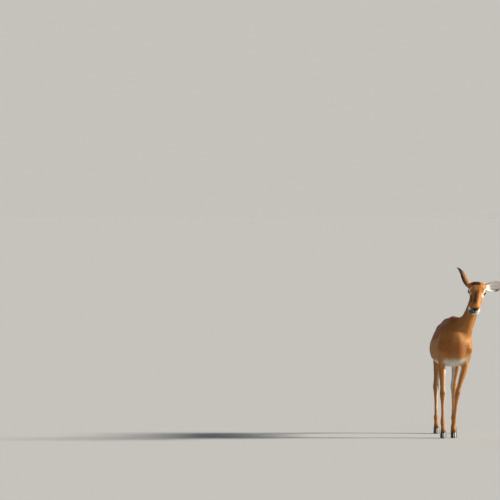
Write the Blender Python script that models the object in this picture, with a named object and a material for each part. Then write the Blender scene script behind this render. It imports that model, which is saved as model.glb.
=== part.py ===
"""A standing impala ewe, life size, as a still museum model.

Metres, +Z up. The ewe faces -Y, so +X is its left. It stands on eight flat-soled claws at z = 0.
The neck leans to the left and the head looks straight ahead of the neck, tipped to one side, with
one ear raised and the other held out level. All flesh is lofted from named stations, fused, and
parted by thin plane cuts, so that neighbouring nodes meet face to face.
"""

import math

import bmesh
import bpy
import numpy as np
from mathutils import Matrix, Vector

# Driving sizes
GAP = 0.0003                 # left between touching solids
BODY_VOXEL = 0.005           # fusing grid of the body
HEAD_VOXEL = 0.003           # fusing grid of the head
BODY_FACES = 4560            # triangles of the fused body before it is parted
HEAD_FACES = 3260            # the same for the finer head and neck
BROAD_FROM, BROAD_TO = 0.46, 0.92   # heights between which the skin is eased most
BROAD_RAMP = 0.06
CLEAR = 1.3 * GAP            # left where a small node is cut back from the skin
SOCKET_GAP = 1.6 * GAP       # around an eyeball

# Parting planes, each a point and a normal. The left side's are given, and the right side mirrors them.
NECK_ROOT = ((0.03, -0.312, 0.737), (0.26, -0.67, 0.74))
HEAD_ROOM = [                # in the head's own frame
    ((0, -0.084, 0), (0, -0.85, -0.53)),
    ((0, -0.040, -0.066), (0, -0.10, -1)),
]
FORELEG_ROOT = ((0.035, -0.25, 0.466), (-0.60, 0, 1))
FORELEG_BACK = -0.182
HINDLEG_ROOT = ((0, 0.15, 0.385), (-1.6, -1.2, 1))

# Head: its own frame has its origin midway between the eyes, axes left, forward and up
HEAD_PLACE = Vector((0.124, -0.530, 0.977))
HEAD_TURN = math.radians(5.5)     # towards the ewe's right
HEAD_PITCH = math.radians(42)     # nose below level
HEAD_TILT = math.radians(7)       # crown towards the ewe's left
HEAD_SCALE = 1.07
EYE_RADIUS = 0.0158
EYE_SIDE = 0.0405                 # eyeball centre from the midplane
EAR_LENGTH = 0.150
EAR_WIDTH = 0.102
EAR_WALL = 0.0028
EAR_ROLL = 128                    # degrees each way at the root
EAR_ROOT_WIDTH = 0.52             # share of the full width
EAR_SUNK = 0.006                  # root below its place on the head

# Feet: hoof centres, left and right of the midplane, and fore and aft
FORE_HOOVES = {"left": (-0.004, -0.270), "right": (-0.077, -0.300)}
HIND_HOOVES = {"left": (0.053, 0.325), "right": (-0.066, 0.305)}
CLAW_LENGTH = 0.056
CLAW_WIDTH = 0.0195
CLEFT = 0.0022                    # between the two claws of a foot
CORONET_HEIGHT = 0.036            # at the hoof's centre
CORONET_SLOPE = 0.36              # rise of the coronet towards the toe
TOE_SLOPE = 0.17                  # share of the length lost at the top
HEEL_SHIFT = 0.006                # top moved back
CLAW_AFT = -0.004                 # sole's middle from the hoof's centre
TOE_TAPER = 0.42                  # share of the width lost at the toe
TOE_INWARD = 0.0035

COAT_COLOUR = (0.52, 0.25, 0.09, 1.0)
PALE_COLOUR = (0.80, 0.70, 0.56, 1.0)
EYE_COLOUR = (0.02, 0.012, 0.008, 1.0)
HORN_COLOUR = (0.03, 0.027, 0.025, 1.0)
TONGUE_COLOUR = (0.10, 0.10, 0.14, 1.0)

# Trunk stations: y, top, widest height, bottom, half width, squareness above, squareness below
TRUNK = [
    (-0.412, 0.690, 0.645, 0.606, 0.022, 2.0, 2.0),
    (-0.398, 0.716, 0.636, 0.556, 0.048, 2.0, 2.0),
    (-0.365, 0.752, 0.630, 0.510, 0.077, 1.9, 2.0),
    (-0.310, 0.792, 0.625, 0.486, 0.096, 1.75, 1.9),
    (-0.250, 0.814, 0.620, 0.479, 0.106, 1.6, 1.95),
    (-0.200, 0.820, 0.612, 0.476, 0.114, 1.5, 2.1),
    (-0.120, 0.811, 0.598, 0.470, 0.127, 1.5, 2.3),
    (-0.040, 0.802, 0.588, 0.466, 0.136, 1.55, 2.45),
    (0.040, 0.797, 0.585, 0.470, 0.139, 1.55, 2.45),
    (0.100, 0.796, 0.590, 0.484, 0.134, 1.5, 2.3),
    (0.160, 0.795, 0.600, 0.508, 0.121, 1.45, 2.1),
    (0.220, 0.790, 0.620, 0.534, 0.106, 1.4, 1.9),
    (0.280, 0.777, 0.645, 0.565, 0.090, 1.5, 1.9),
    (0.325, 0.755, 0.662, 0.595, 0.070, 1.7, 2.0),
    (0.355, 0.728, 0.672, 0.628, 0.042, 2.0, 2.0),
    (0.366, 0.703, 0.678, 0.655, 0.018, 2.0, 2.0),
]

# Neck stations: centre, half width, half depth
NECK = [
    ((0.000, -0.175, 0.652), 0.080, 0.128),
    ((0.043, -0.266, 0.704), 0.078, 0.116),
    ((0.076, -0.326, 0.765), 0.052, 0.088),
    ((0.100, -0.370, 0.830), 0.0435, 0.067),
    ((0.123, -0.410, 0.905), 0.0415, 0.057),
    ((0.135, -0.442, 0.967), 0.0410, 0.053),
    ((0.139, -0.462, 0.998), 0.0380, 0.046),
]

# Head stations in its own frame: forward, top, widest height, bottom, half width, squarenesses
HEAD = [
    (-0.095, -0.004, -0.014, -0.034, 0.020, 2.0, 2.0),
    (-0.087, 0.0080, -0.006, -0.048, 0.033, 2.1, 1.9),
    (-0.072, 0.0190, -0.001, -0.058, 0.0405, 2.4, 1.8),
    (-0.053, 0.0275, 0.002, -0.063, 0.0440, 2.6, 1.7),
    (-0.030, 0.0325, 0.003, -0.0625, 0.0455, 2.7, 1.7),
    (-0.005, 0.0340, 0.001, -0.0590, 0.0450, 2.7, 1.7),
    (0.020, 0.0315, -0.002, -0.0565, 0.0432, 2.5, 1.8),
    (0.045, 0.0262, -0.008, -0.0545, 0.0400, 2.3, 1.9),
    (0.070, 0.0200, -0.014, -0.0555, 0.0362, 2.2, 2.0),
    (0.095, 0.0145, -0.021, -0.0590, 0.0335, 2.2, 2.1),
    (0.118, 0.0095, -0.027, -0.0635, 0.0325, 2.3, 2.3),
    (0.135, 0.0040, -0.031, -0.0655, 0.0300, 2.3, 2.3),
    (0.146, -0.0035, -0.033, -0.0605, 0.0235, 2.2, 2.2),
    (0.151, -0.013, -0.032, -0.0480, 0.0120, 2.0, 2.0),
]

# Rounded masses fused into the head: centre (left, forward, up), radii, turn about the up axis
HEAD_MASSES = {
    "brow": ((0.0375, -0.001, 0.007), (0.0138, 0.0290, 0.0205), 6),
    "cheekbone": ((0.033, 0.004, -0.016), (0.0135, 0.046, 0.015), 10),
    "jaw": ((0.026, -0.040, -0.035), (0.0155, 0.036, 0.028), 4),
    "ear_root": ((0.0395, -0.059, -0.007), (0.0170, 0.0180, 0.0180), 0),
    "nostril": ((0.0145, 0.132, -0.008), (0.0120, 0.0165, 0.0115), 10),
    "upper_lip": ((0.0165, 0.118, -0.028), (0.0170, 0.026, 0.0140), 8),
    "chin": ((0.006, 0.119, -0.0585), (0.0185, 0.024, 0.0115), 0),
}

# The right lip, pushed out by the tongue: the same, for the right side only
LIP_SWELL = ((-0.0270, 0.116, -0.042), (0.0125, 0.0230, 0.0160), -8)

# Leg stations: fore leg (inward share, y from the hoof, z), half width, half depth. The share runs
# from 0 at the foot to 1 at the elbow, and leans the leg from its hoof to its shoulder.
FORELEG = [
    (1.00, 0.012, 0.690, 0.014, 0.050),
    (1.00, 0.014, 0.610, 0.030, 0.068),
    (1.00, 0.018, 0.550, 0.031, 0.060),
    (0.93, 0.026, 0.500, 0.0265, 0.0465),
    (0.80, 0.026, 0.450, 0.0225, 0.0345),
    (0.60, 0.024, 0.390, 0.0190, 0.0255),
    (0.42, 0.022, 0.335, 0.0170, 0.0200),
    (0.31, 0.019, 0.298, 0.0200, 0.0225),
    (0.26, 0.022, 0.270, 0.0180, 0.0195),
    (0.20, 0.025, 0.225, 0.0132, 0.0143),
    (0.13, 0.026, 0.160, 0.0122, 0.0132),
    (0.08, 0.026, 0.122, 0.0145, 0.0160),
    (0.06, 0.024, 0.104, 0.0160, 0.0178),
    (0.03, 0.016, 0.082, 0.0140, 0.0148),
    (0.01, 0.008, 0.062, 0.0158, 0.0165),
    (0.00, 0.002, 0.044, 0.0195, 0.0215),
    (0.00, 0.000, 0.020, 0.0200, 0.0225),
]
SHOULDER_SIDE = {"left": 0.082, "right": -0.084}

HINDLEG = [
    (1.00, -0.065, 0.705, 0.016, 0.060),
    (1.00, -0.078, 0.640, 0.040, 0.100),
    (0.98, -0.088, 0.575, 0.043, 0.100),
    (0.90, -0.078, 0.515, 0.035, 0.074),
    (0.70, -0.048, 0.455, 0.0270, 0.0490),
    (0.50, -0.010, 0.405, 0.0205, 0.0345),
    (0.36, 0.026, 0.362, 0.0180, 0.0285),
    (0.28, 0.045, 0.330, 0.0190, 0.0275),
    (0.22, 0.050, 0.295, 0.0180, 0.0220),
    (0.18, 0.048, 0.255, 0.0140, 0.0160),
    (0.12, 0.042, 0.190, 0.0122, 0.0138),
    (0.07, 0.036, 0.135, 0.0128, 0.0145),
    (0.05, 0.031, 0.108, 0.0158, 0.0180),
    (0.03, 0.021, 0.084, 0.0140, 0.0150),
    (0.01, 0.010, 0.062, 0.0158, 0.0165),
    (0.00, 0.003, 0.044, 0.0195, 0.0215),
    (0.00, 0.000, 0.020, 0.0200, 0.0225),
]
HIP_SIDE = {"left": 0.064, "right": -0.064}

# Rounded masses fused into the body: centre for the left side, radii; the right side mirrors them
BODY_MASSES = {
    "shoulder_blade": ((0.062, -0.240, 0.665), (0.040, 0.075, 0.100)),
    "shoulder_point": ((0.077, -0.312, 0.618), (0.046, 0.056, 0.074)),
    "upper_arm": ((0.080, -0.258, 0.590), (0.039, 0.072, 0.072)),
    "haunch": ((0.054, 0.225, 0.620), (0.048, 0.100, 0.095)),
    "pin_bone": ((0.034, 0.312, 0.688), (0.032, 0.042, 0.042)),
    "stifle": ((0.074, 0.170, 0.553), (0.030, 0.044, 0.054)),
}
ELBOW = (0.055, 0.508, 0.017, 0.026, 0.024)        # behind the hoof, height, radii
HOCK_POINT = (0.063, 0.350, 0.0100, 0.0175, 0.024)  # behind the hoof, height, radii

# Tail stations: y, z, half width, half depth
TAIL = [
    (0.322, 0.735, 0.020, 0.012),
    (0.358, 0.731, 0.021, 0.013),
    (0.384, 0.710, 0.022, 0.013),
    (0.396, 0.675, 0.023, 0.0135),
    (0.400, 0.620, 0.026, 0.015),
    (0.402, 0.560, 0.026, 0.016),
    (0.401, 0.505, 0.021, 0.014),
    (0.399, 0.470, 0.012, 0.009),
    (0.398, 0.455, 0.004, 0.004),
]

# Ears: root in the head's frame, direction and facing as (left, back, up) along the turned head, and
# the degrees by which the roll opens towards the tip, and how far the middle bows out backwards
EARS = {
    "left": {
        "root": (0.0473, -0.0588, -0.0109),
        "along": (0.147, 0.018, 0.017),
        "faces": (0.02, -1.0, -0.15),
        "unroll": 82,
        "bow": 0.004,
    },
    "right": {
        "root": (-0.0539, -0.0634, -0.0186),
        "along": (-0.078, 0.022, 0.131),
        "faces": (-0.82, -0.26, -0.50),
        "unroll": 80,
        "bow": -0.006,
    },
}
EAR_ROWS = 10
EAR_COLUMNS = 7

# The tongue curls out at the right side of the mouth: path in the head's frame, half width, half depth,
# and the direction of its width
TONGUE = [
    ((-0.006, 0.110, -0.038), 0.0095, 0.0042),
    ((-0.014, 0.131, -0.0400), 0.0125, 0.0050),
    ((-0.0195, 0.1475, -0.0400), 0.0140, 0.0055),
    ((-0.0222, 0.1560, -0.0310), 0.0155, 0.0056),
    ((-0.0230, 0.1562, -0.0200), 0.0145, 0.0052),
    ((-0.0236, 0.1525, -0.0095), 0.0075, 0.0036),
]
TONGUE_SIDE = Vector((1, 0.35, 0))

VIEW_RIGHT = Vector((math.cos(HEAD_TURN), -math.sin(HEAD_TURN), 0))
VIEW_AWAY = Vector((math.sin(HEAD_TURN), math.cos(HEAD_TURN), 0))


def material(name, colour, roughness):
    """A plain Principled finish."""
    found = bpy.data.materials.get(name) or bpy.data.materials.new(name)
    found.use_nodes = True
    shader = found.node_tree.nodes["Principled BSDF"]
    shader.inputs["Base Color"].default_value = colour
    shader.inputs["Roughness"].default_value = roughness
    shader.inputs["Metallic"].default_value = 0.0
    return found


def smooth_rows(rows, count):
    """Rows of numbers resampled to count rows on a Catmull-Rom curve through them."""
    table = np.array(rows, float)
    ends = np.vstack([2 * table[0] - table[1], table, 2 * table[-1] - table[-2]])
    found = []
    for t in np.linspace(0, len(table) - 1, count):
        i = min(int(t), len(table) - 2)
        s = t - i
        a, b, c, d = ends[i : i + 4]
        found.append(
            0.5 * (2 * b + (c - a) * s + (2 * a - 5 * b + 4 * c - d) * s**2 + (3 * b - a - 3 * c + d) * s**3)
        )
    return found


def outline(half, above, below, square_top, square_bottom, count):
    """A closed section as (across, upward) pairs, squarer as its exponents grow past 2."""
    points = []
    for step in range(count):
        angle = math.tau * step / count
        across, rise = math.cos(angle), math.sin(angle)
        power = 2 / (square_top if rise >= 0 else square_bottom)
        height = above if rise >= 0 else below
        points.append(
            (
                half * math.copysign(abs(across) ** power, across),
                height * math.copysign(abs(rise) ** power, rise),
            )
        )
    return points


def loft(rings):
    """A closed tube through rings of equal count, with its ends filled."""
    shape = bmesh.new()
    loops = [[shape.verts.new(point) for point in ring] for ring in rings]
    count = len(rings[0])
    for low, high in zip(loops, loops[1:]):
        for i in range(count):
            j = (i + 1) % count
            shape.faces.new((low[i], low[j], high[j], high[i]))
    shape.faces.new(reversed(loops[0]))
    shape.faces.new(loops[-1])
    bmesh.ops.triangulate(shape, faces=[f for f in shape.faces if len(f.verts) > 4])
    bmesh.ops.recalc_face_normals(shape, faces=shape.faces)
    return shape


def tube(stations, count, rows, side=Vector((1, 0, 0))):
    """A loft along a path; stations are (x, y, z, half width, half depth), width lying along side."""
    table = smooth_rows(stations, rows)
    centres = [Vector(row[:3]) for row in table]
    rings = []
    for i, row in enumerate(table):
        along = (centres[min(i + 1, rows - 1)] - centres[max(i - 1, 0)]).normalized()
        across = (side - along * side.dot(along)).normalized()
        depth = along.cross(across)
        ring = outline(max(row[3], 0.001), max(row[4], 0.001), max(row[4], 0.001), 2, 2, count)
        rings.append([centres[i] + across * a + depth * b for a, b in ring])
    return loft(rings)


def ellipsoid(centre, radii, turn=0.0, frame=Matrix.Identity(4)):
    """A rounded mass, with turn in degrees about its up axis."""
    shape = bmesh.new()
    place = (
        frame
        @ Matrix.Translation(centre)
        @ Matrix.Rotation(math.radians(turn), 4, "Z")
        @ Matrix.Diagonal((*radii, 1))
    )
    bmesh.ops.create_uvsphere(shape, u_segments=24, v_segments=14, radius=1, matrix=place)
    bmesh.ops.recalc_face_normals(shape, faces=shape.faces)
    return shape


def made(name, shape, finish=None):
    """An object from a bmesh."""
    mesh = bpy.data.meshes.new(name)
    shape.to_mesh(mesh)
    shape.free()
    if finish:
        mesh.materials.append(finish)
    found = bpy.data.objects.new(name, mesh)
    bpy.context.scene.collection.objects.link(found)
    return found


def joined(shapes):
    """Many bmeshes as one bmesh."""
    whole = bmesh.new()
    for shape in shapes:
        mesh = bpy.data.meshes.new("joining")
        shape.to_mesh(mesh)
        shape.free()
        whole.from_mesh(mesh)
        bpy.data.meshes.remove(mesh)
    return whole


def settled(thing):
    """Applies a helper's modifiers."""
    mesh = bpy.data.meshes.new_from_object(thing.evaluated_get(bpy.context.evaluated_depsgraph_get()))
    thing.modifiers.clear()
    old = thing.data
    thing.data = mesh
    bpy.data.meshes.remove(old)
    return thing


def fused(name, shapes, voxel, rounds, faces, broad_rounds=0):
    """Overlapping masses made one smooth skin of about so many triangles, eased more over the trunk."""
    thing = made(name, joined(shapes))
    remesh = thing.modifiers.new("fuse", "REMESH")
    remesh.mode = "VOXEL"
    remesh.voxel_size = voxel
    settled(thing)
    broad = thing.vertex_groups.new(name="broad")
    for vert in thing.data.vertices:
        rise = min(1, max(0, (vert.co.z - BROAD_FROM) / BROAD_RAMP))
        fall = min(1, max(0, (BROAD_TO - vert.co.z) / BROAD_RAMP))
        broad.add([vert.index], rise * fall, "REPLACE")
    for group, count in (("broad", broad_rounds), ("", rounds)):
        ease = thing.modifiers.new("ease", "SMOOTH")
        ease.factor = 0.5
        ease.iterations = count
        ease.vertex_group = group
    settled(thing)
    thing.vertex_groups.clear()
    total = sum(len(face.vertices) - 2 for face in thing.data.polygons)
    thin = thing.modifiers.new("thin", "DECIMATE")
    thin.ratio = faces / total
    return settled(thing)


def cell(planes, grow=0.0):
    """The convex room inside planes, each a point and an outward normal, with its walls moved out by grow."""
    shape = bmesh.new()
    bmesh.ops.create_cube(shape, size=4)
    for point, normal in planes:
        outward = Vector(normal).normalized()
        cut = bmesh.ops.bisect_plane(
            shape,
            geom=[*shape.verts, *shape.edges, *shape.faces],
            plane_co=Vector(point) + outward * grow,
            plane_no=outward,
            clear_outer=True,
        )
        edges = [e for e in cut["geom_cut"] if isinstance(e, bmesh.types.BMEdge)]
        bmesh.ops.edgeloop_fill(shape, edges=edges)
    bmesh.ops.recalc_face_normals(shape, faces=shape.faces)
    return made("cell", shape)


def cut(thing, tool, operation):
    """Applies an exact Boolean with a helper, which is then removed."""
    step = thing.modifiers.new("cut", "BOOLEAN")
    step.operation = operation
    step.solver = "EXACT"
    step.object = tool
    settled(thing)
    bpy.data.objects.remove(tool)
    return thing


def copied(thing, name):
    found = bpy.data.objects.new(name, thing.data.copy())
    bpy.context.scene.collection.objects.link(found)
    return found


def grown(thing, distance):
    """A copy whose surface stands out by distance, for cutting a neighbour clear of it."""
    found = copied(thing, "grown")
    shape = bmesh.new()
    shape.from_mesh(found.data)
    shape.normal_update()
    for vert in shape.verts:
        vert.co += vert.normal * vert.calc_shell_factor() * distance
    shape.to_mesh(found.data)
    shape.free()
    return found


def mirrored(point, side):
    return (point[0] if side == "left" else -point[0], *point[1:])


def head_frame():
    """The head's own frame: columns left, forward, up and the place of its origin."""
    forward = Vector(
        (
            -math.sin(HEAD_TURN) * math.cos(HEAD_PITCH),
            -math.cos(HEAD_TURN) * math.cos(HEAD_PITCH),
            -math.sin(HEAD_PITCH),
        )
    )
    up = forward.cross(VIEW_RIGHT)
    axes = Matrix((VIEW_RIGHT, forward, up)).transposed()
    tilt = Matrix.Rotation(HEAD_TILT, 3, VIEW_AWAY)
    frame = (tilt @ axes * HEAD_SCALE).to_4x4()
    frame.translation = HEAD_PLACE
    return frame


def head_shapes(frame):
    """The skull's loft and the masses that stand out from it."""
    rings = []
    for row in smooth_rows(HEAD, 40):
        forward, top, middle, bottom, half, square_top, square_bottom = row
        ring = outline(max(half, 0.002), top - middle, middle - bottom, square_top, square_bottom, 32)
        rings.append([frame @ Vector((a, forward, middle + b)) for a, b in ring])
    shapes = [loft(rings)]
    for centre, radii, turn in HEAD_MASSES.values():
        shapes.append(ellipsoid(centre, radii, turn, frame))
        shapes.append(ellipsoid(mirrored(centre, "right"), radii, -turn, frame))
    shapes.append(ellipsoid(*LIP_SWELL, frame))
    return shapes


def neck_shape():
    stations = [(*centre, half, depth) for centre, half, depth in NECK]
    return tube(stations, 28, 26, side=Vector((1, -0.12, -0.08)))


def trunk_shape():
    rings = []
    for row in smooth_rows(TRUNK, 44):
        y, top, middle, bottom, half, square_top, square_bottom = row
        ring = outline(max(half, 0.01), top - middle, middle - bottom, square_top, square_bottom, 36)
        rings.append([Vector((a, y, middle + b)) for a, b in ring])
    return loft(rings)


def leg_shape(stations, hoof, top):
    """A leg that leans from its hoof to its place under the body."""
    rows = [
        (hoof[0] + (top - hoof[0]) * share, hoof[1] + aft, z, half, depth)
        for share, aft, z, half, depth in stations
    ]
    return tube(rows, 20, 46)


def body_shapes():
    """Trunk, legs and the muscles that stand out."""
    shapes = [trunk_shape()]
    for side in ("left", "right"):
        shapes.append(leg_shape(FORELEG, FORE_HOOVES[side], SHOULDER_SIDE[side]))
        shapes.append(leg_shape(HINDLEG, HIND_HOOVES[side], HIP_SIDE[side]))
        for centre, radii in BODY_MASSES.values():
            shapes.append(ellipsoid(mirrored(centre, side), radii))
        aft, height, *radii = ELBOW
        lean = FORE_HOOVES[side][0] + (SHOULDER_SIDE[side] - FORE_HOOVES[side][0]) * 0.95
        shapes.append(ellipsoid((lean, FORE_HOOVES[side][1] + aft, height), radii))
        aft, height, *radii = HOCK_POINT
        lean = HIND_HOOVES[side][0] + (HIP_SIDE[side] - HIND_HOOVES[side][0]) * 0.33
        shapes.append(ellipsoid((lean, HIND_HOOVES[side][1] + aft, height), radii))
    return shapes


def coronet(hoof):
    """The sloping plane between hoof and pastern, its normal pointing up into the leg."""
    point = Vector((hoof[0], hoof[1], CORONET_HEIGHT))
    return point, Vector((0, CORONET_SLOPE, 1)).normalized()


def leg_cells():
    """The room of each leg: under a tilted plane at its root, and on its own side of its pair."""
    cells = {}
    middle = (FORE_HOOVES["left"][0] + FORE_HOOVES["right"][0]) / 2
    for side, sign in (("left", 1), ("right", -1)):
        cells[f"foreleg_{side}"] = [
            tuple(mirrored(part, side) for part in FORELEG_ROOT),
            ((middle + GAP / 2 * sign, 0, 0), (-sign, 0, 0)),
            ((0, FORELEG_BACK, 0), (0, 1, 0)),
        ]
        cells[f"hindleg_{side}"] = [
            tuple(mirrored(part, side) for part in HINDLEG_ROOT),
            ((GAP / 2 * sign, 0, 0), (-sign, 0, 0)),
        ]
    return cells


def claw(name, hoof, outward, finish):
    """One claw: flat sole, sloping toe and a top that follows the coronet."""
    middle = hoof[0] + outward * (CLEFT + CLAW_WIDTH) / 2
    rings = []
    for rise in np.linspace(0, 1, 4):
        ring = []
        length = CLAW_LENGTH * (1 - TOE_SLOPE * rise)
        for step in range(12):
            angle = math.tau * step / 12
            toe = max(0.0, math.sin(angle)) ** 2
            x = middle + math.cos(angle) * CLAW_WIDTH / 2 * (1 - TOE_TAPER * toe) - outward * TOE_INWARD * toe
            y = hoof[1] - math.sin(angle) * length / 2 + HEEL_SHIFT * rise + CLAW_AFT
            top = CORONET_HEIGHT - CORONET_SLOPE * (y - hoof[1])
            ring.append(Vector((x, y, (top - GAP) * rise)))
        rings.append(ring)
    return made(name, loft(rings), finish)


def ear(name, frame, spec, finish):
    """A cupped leaf of even thickness, rolled nearly shut at its root."""
    left, away, up = VIEW_RIGHT, VIEW_AWAY, Vector((0, 0, 1))
    along = (left * spec["along"][0] + away * spec["along"][1] + up * spec["along"][2]).normalized()
    faces = left * spec["faces"][0] + away * spec["faces"][1] + up * spec["faces"][2]
    faces = (faces - along * faces.dot(along)).normalized()
    across = along.cross(faces)
    root = frame @ Vector(spec["root"])
    shape = bmesh.new()
    rows = []
    for i in range(EAR_ROWS):
        share = i / (EAR_ROWS - 1)
        reach = 0.996 * share + 0.002
        swell = math.sin(math.pi * (share * 0.86 + 0.04))
        half = EAR_WIDTH / 2 * (EAR_ROOT_WIDTH + (1 - EAR_ROOT_WIDTH) * swell) * (1 - reach**3.2) ** 0.75
        curl = math.radians(EAR_ROLL - spec["unroll"] * share**0.6)
        radius = half / curl
        bow = spec["bow"] * math.sin(math.pi * share)
        row = []
        for j in range(EAR_COLUMNS):
            turn = curl * (2 * j / (EAR_COLUMNS - 1) - 1)
            middle = root + along * (EAR_LENGTH * share - EAR_SUNK)
            row.append(
                shape.verts.new(
                    middle + across * radius * math.sin(turn) - faces * (radius * math.cos(turn) + bow)
                )
            )
        rows.append(row)
    for low, high in zip(rows, rows[1:]):
        for j in range(EAR_COLUMNS - 1):
            shape.faces.new((low[j], low[j + 1], high[j + 1], high[j]))
    found = made(name, shape, finish)
    wall = found.modifiers.new("wall", "SOLIDIFY")
    wall.thickness = EAR_WALL
    wall.offset = 0
    settled(found)
    shape = bmesh.new()
    shape.from_mesh(found.data)
    bmesh.ops.recalc_face_normals(shape, faces=shape.faces)
    shape.to_mesh(found.data)
    shape.free()
    return found


def eyeball(name, frame, side, radius, finish=None):
    """An eyeball whose poles lie across the head."""
    centre = Vector(mirrored((EYE_SIDE, 0, 0), side))
    shape = bmesh.new()
    place = frame @ Matrix.Translation(centre) @ Matrix.Rotation(math.pi / 2, 4, "Y")
    place = place @ Matrix.Diagonal((radius / HEAD_SCALE, radius / HEAD_SCALE, radius / HEAD_SCALE, 1))
    bmesh.ops.create_uvsphere(shape, u_segments=14, v_segments=9, radius=1, matrix=place)
    bmesh.ops.recalc_face_normals(shape, faces=shape.faces)
    return made(name, shape, finish)


def centre_on_floor(things):
    """Moves the whole model so that the middle of its box is over the origin."""
    corners = np.array([vert.co for thing in things for vert in thing.data.vertices])
    low, high = corners.min(axis=0), corners.max(axis=0)
    shift = Matrix.Translation((-(low[0] + high[0]) / 2, -(low[1] + high[1]) / 2, 0))
    for thing in things:
        thing.data.transform(shift)


def main():
    for thing in list(bpy.data.objects):
        bpy.data.objects.remove(thing)
    coat = material("coat", COAT_COLOUR, 0.8)
    pale = material("pale coat", PALE_COLOUR, 0.8)
    eye_finish = material("eye", EYE_COLOUR, 0.08)
    horn = material("hoof horn", HORN_COLOUR, 0.45)
    wet = material("tongue", TONGUE_COLOUR, 0.25)
    frame = head_frame()

    whole = [*body_shapes(), neck_shape(), *head_shapes(frame)]
    body = fused("body", whole, BODY_VOXEL, 5, BODY_FACES, broad_rounds=60)
    fine = fused("fine", [neck_shape(), *head_shapes(frame)], HEAD_VOXEL, 14, HEAD_FACES)

    turn = frame.to_3x3()
    head_room = [(frame @ Vector(point), turn @ Vector(normal)) for point, normal in HEAD_ROOM]
    chest, to_head = (Vector(part) for part in NECK_ROOT)
    nodes = {}
    nodes["head"] = cut(copied(fine, "head"), cell(head_room), "INTERSECT")
    neck = cut(copied(body, "neck"), cell([(chest, -to_head)], -GAP), "INTERSECT")
    nodes["neck"] = cut(neck, cell(head_room, GAP), "DIFFERENCE")
    trunk = cut(copied(body, "trunk"), cell([(chest, to_head)]), "INTERSECT")
    for name, planes in leg_cells().items():
        side = name.split("_")[1]
        hoof = (FORE_HOOVES if name.startswith("fore") else HIND_HOOVES)[side]
        point, normal = coronet(hoof)
        leg = cut(copied(body, name), cell([*planes, (point, -normal)]), "INTERSECT")
        nodes[name] = leg
        trunk = cut(trunk, cell(planes, GAP), "DIFFERENCE")
    nodes["trunk"] = trunk

    for side in ("left", "right"):
        nodes[f"eye_{side}"] = eyeball(f"eye_{side}", frame, side, EYE_RADIUS, eye_finish)
        cut(nodes["head"], eyeball("socket", frame, side, EYE_RADIUS + SOCKET_GAP), "DIFFERENCE")
        blade = ear(f"ear_{side}", frame, EARS[side], pale)
        for base in ("head", "neck"):
            cut(blade, grown(nodes[base], CLEAR), "DIFFERENCE")
        nodes[blade.name] = blade

    stations = [(*(frame @ Vector(centre)), half, depth) for centre, half, depth in TONGUE]
    tongue = made("tongue", tube(stations, 10, 9, side=turn @ TONGUE_SIDE.normalized()), wet)
    nodes["tongue"] = cut(tongue, grown(nodes["head"], CLEAR), "DIFFERENCE")

    tail = made("tail", tube([(0, *row) for row in TAIL], 10, 14), coat)
    nodes["tail"] = cut(tail, grown(nodes["trunk"], CLEAR), "DIFFERENCE")

    for pair, hooves in (("fore", FORE_HOOVES), ("hind", HIND_HOOVES)):
        for side, hoof in hooves.items():
            for place, sign in (("outer", 1), ("inner", -1)):
                name = f"claw_{pair}_{side}_{place}"
                outward = sign if side == "left" else -sign
                nodes[name] = claw(name, hoof, outward, horn)

    for helper in (body, fine):
        bpy.data.objects.remove(helper)
    for name, thing in nodes.items():
        thing.name = name
        thing.data.name = name
        if not thing.data.materials:
            thing.data.materials.append(coat)
        thing.data.shade_smooth()
    centre_on_floor(list(nodes.values()))
    total = 0
    for name, thing in nodes.items():
        count = sum(len(face.vertices) - 2 for face in thing.data.polygons)
        total += count
        print(name, count)
    print("triangles", total)


main()
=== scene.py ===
import math

import bmesh
import bpy
import numpy as np
from mathutils import Matrix, Vector
from mathutils.bvhtree import BVHTree


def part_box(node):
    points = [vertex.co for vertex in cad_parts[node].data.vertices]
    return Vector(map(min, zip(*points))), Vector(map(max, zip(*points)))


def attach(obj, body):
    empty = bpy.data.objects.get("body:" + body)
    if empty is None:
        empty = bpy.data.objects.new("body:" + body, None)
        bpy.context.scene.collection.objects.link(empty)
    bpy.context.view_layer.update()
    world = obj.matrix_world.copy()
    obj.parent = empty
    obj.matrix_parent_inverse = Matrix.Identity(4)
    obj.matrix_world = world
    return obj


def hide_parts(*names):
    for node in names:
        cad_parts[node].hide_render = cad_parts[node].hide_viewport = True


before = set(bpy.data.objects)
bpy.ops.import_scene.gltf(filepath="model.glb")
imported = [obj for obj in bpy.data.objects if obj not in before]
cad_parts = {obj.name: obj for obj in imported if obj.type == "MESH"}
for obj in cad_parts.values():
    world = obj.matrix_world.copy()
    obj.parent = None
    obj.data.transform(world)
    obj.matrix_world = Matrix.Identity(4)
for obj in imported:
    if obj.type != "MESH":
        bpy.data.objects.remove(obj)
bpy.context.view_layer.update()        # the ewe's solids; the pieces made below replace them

sides = ("left", "right")

# How the ewe stands. Lengths in metres, angles in degrees, x measured from the trunk's middle plane.
stance = {
    "eyesAt": (0.124, -0.530, 0.977),
    "headTurn": 5.5,
    "headPitch": 42,
    "headTilt": 7,
    "headSize": 1.07,
    "eyeSide": 0.0405,
    "eyeRadius": 0.0158,
    "shoulders": {"left": 0.082, "right": -0.084},
    "hips": {"left": 0.064, "right": -0.064},
    "hoofAhead": 0.004,
}

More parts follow.
